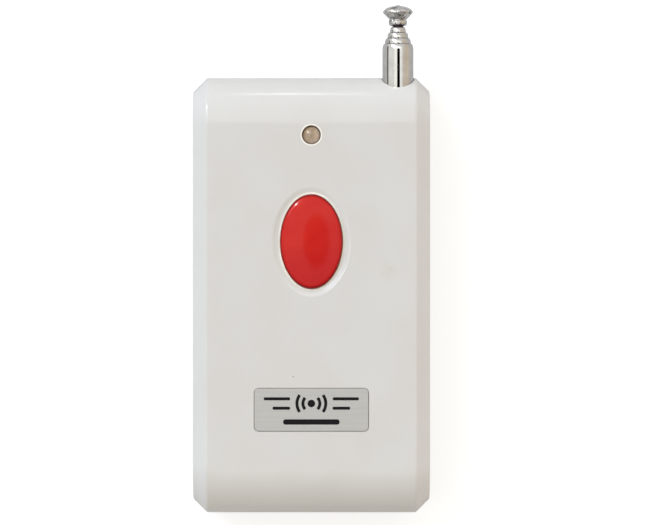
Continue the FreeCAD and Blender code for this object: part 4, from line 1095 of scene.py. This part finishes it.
def soft_box(name, place, aim, size, power, colour=(1.0, 1.0, 1.0), glint_only=False, pieces=()):
    """A lamp that faces a point, for all light or only for glints, on all pieces or a few."""
    lamp = bpy.data.lights.new(name, "AREA")
    lamp.shape = "RECTANGLE"
    lamp.size, lamp.size_y = size
    lamp.energy = power
    lamp.color = colour
    box = scene_object(name, lamp)
    box.visible_camera = False
    box.visible_diffuse = not glint_only
    box.location = place
    box.rotation_mode = "QUATERNION"
    box.rotation_quaternion = (Vector(aim) - Vector(place)).to_track_quat("-Z", "Y")
    if pieces:
        lit = bpy.data.collections.new(name + "_pieces")
        for piece in pieces:
            lit.objects.link(bpy.data.objects[piece])
        box.light_linking.receiver_collection = lit


# The surround's light for matt surfaces: an even part, and what each wall adds towards its side
even_light = (0.27, 0.22, 0.015)
wall_lights = {
    "left": ((-1, 0, 0), (1.03, 1.17, 1.54)),
    "right": ((1, 0, 0), (1.10, 1.04, 1.31)),
    "antenna_end": ((0, 1, 0), (0.57, 0.71, 0.80)),
}

# A mirror sees plain white, with these changes: overhead, to the left and right, overhead
# towards the antenna end, towards the lower end, and in a dark line low on the left
mirror_glow = (0.58, 0.57, 0.52)
mirror_left = (0.17, 0.17, 0.14)
mirror_right = (-0.08, -0.20, -0.34)
mirror_head = (0.35, 0.35, 0.33)
mirror_foot = (-0.6, -0.62, -0.65)
mirror_line = (-0.92, -0.94, -0.92)

# The dark oval that a mirror sees where the camera stands, in shares of X and Y
shade_centre = (0.07, 0.0)
shade_half = (0.19, 0.16)
shade_softness = 0.25


def surround():
    """The world: white to the camera, soft walls of light, and a dark place round the camera."""
    world = bpy.data.worlds.new("studio")
    bpy.context.scene.world = world
    world.use_nodes = True
    nodes = Nodes(world.node_tree)
    direction = nodes.add("ShaderNodeTexCoord").outputs["Generated"]
    x, y, z = nodes.axes(direction)

    matt = even_light
    for side, colour in wall_lights.values():
        facing = nodes.between(nodes.vectors("DOT_PRODUCT", direction, side), 0.0, 1.0)
        matt = nodes.vectors("MULTIPLY_ADD", facing, colour, matt)

    mirror = (1.0, 1.0, 1.0)
    overhead = nodes.rise(z, 0.82, 0.95)
    for share, change in (
        (overhead, mirror_glow),
        (nodes.fall(x, -0.6, -0.3), mirror_left),
        (nodes.rise(x, 0.5, 0.75), mirror_right),
        (nodes.times(overhead, nodes.rise(y, 0.05, 0.2)), mirror_head),
        (nodes.fall(y, -0.4, -0.05), mirror_foot),
        (nodes.times(nodes.fall(x, -0.96, -0.9), nodes.fall(z, 0.2, 0.3)), mirror_line),
    ):
        mirror = nodes.vectors("MULTIPLY_ADD", share, change, mirror)
    reach = 0.0
    for axis, centre, half in zip((x, y), shade_centre, shade_half):
        share = nodes.combine("DIVIDE", nodes.combine("SUBTRACT", axis, centre), half)
        reach = nodes.combine("ADD", reach, nodes.combine("POWER", share, 2.0))
    lit = nodes.rise(reach, 1 - shade_softness, 1 + shade_softness)
    mirror = nodes.vectors("MULTIPLY", lit, mirror)

    path = nodes.add("ShaderNodeLightPath")
    light = nodes.blend(path.outputs["Is Glossy Ray"], matt, mirror)
    plain = nodes.combine("MAXIMUM", path.outputs["Is Camera Ray"],
                          path.outputs["Is Transmission Ray"])
    light = nodes.blend(plain, light, (1.0, 1.0, 1.0, 1.0))
    nodes.join(light, nodes.tree.nodes["Background"].inputs["Color"])


def studio():
    """The surround, a soft box from the upper left, and small lamps for the glints."""
    surround()
    part = (0, 0, 0)
    roll = (0, 0.03, 0.01)
    soft_box("key_box", (-1.6, 1.5, 2.6), part, (1.4, 1.4), 39.5, (0.79, 0.81, 1.0))
    soft_box("roll_strip", (-0.005, 0.42, 0.066), roll, (0.02, 0.04), 0.03, glint_only=True)
    soft_box("glint_lamp", (-0.37, 0.37, 0.3), part, (0.05, 0.05), 3.0, glint_only=True)
    soft_box("cap_glint_lamp", (-0.3, 0.32, 0.54), part, (0.03, 0.03), 130.0, glint_only=True,
             pieces=("button_dome",))


def dress_nodes():
    """Every solid that stays gets the finish of its slot."""
    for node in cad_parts.values():
        for slot in node.material_slots:
            slot.material = finishes[slot.material.name.split(".")[0]]


camera()
dress_nodes()
antenna_sections()
antenna_knob()
push_button()
hole_lip("button_hole_lip", button_y, cap_half_x, cap_half_y,
         face_z - dish_depth + 0.05 * mm, 0.22 * mm)
hole_lip("lamp_hole_lip", lamp_y, lens_radius, lens_radius, face_z + 0.03 * mm, 0.24 * mm)
indicator_lamp()
battery_cell()
battery_spring()
case_screws()
label()
pale_floor()
studio()

bpy.context.scene.view_settings.view_transform = "Standard"
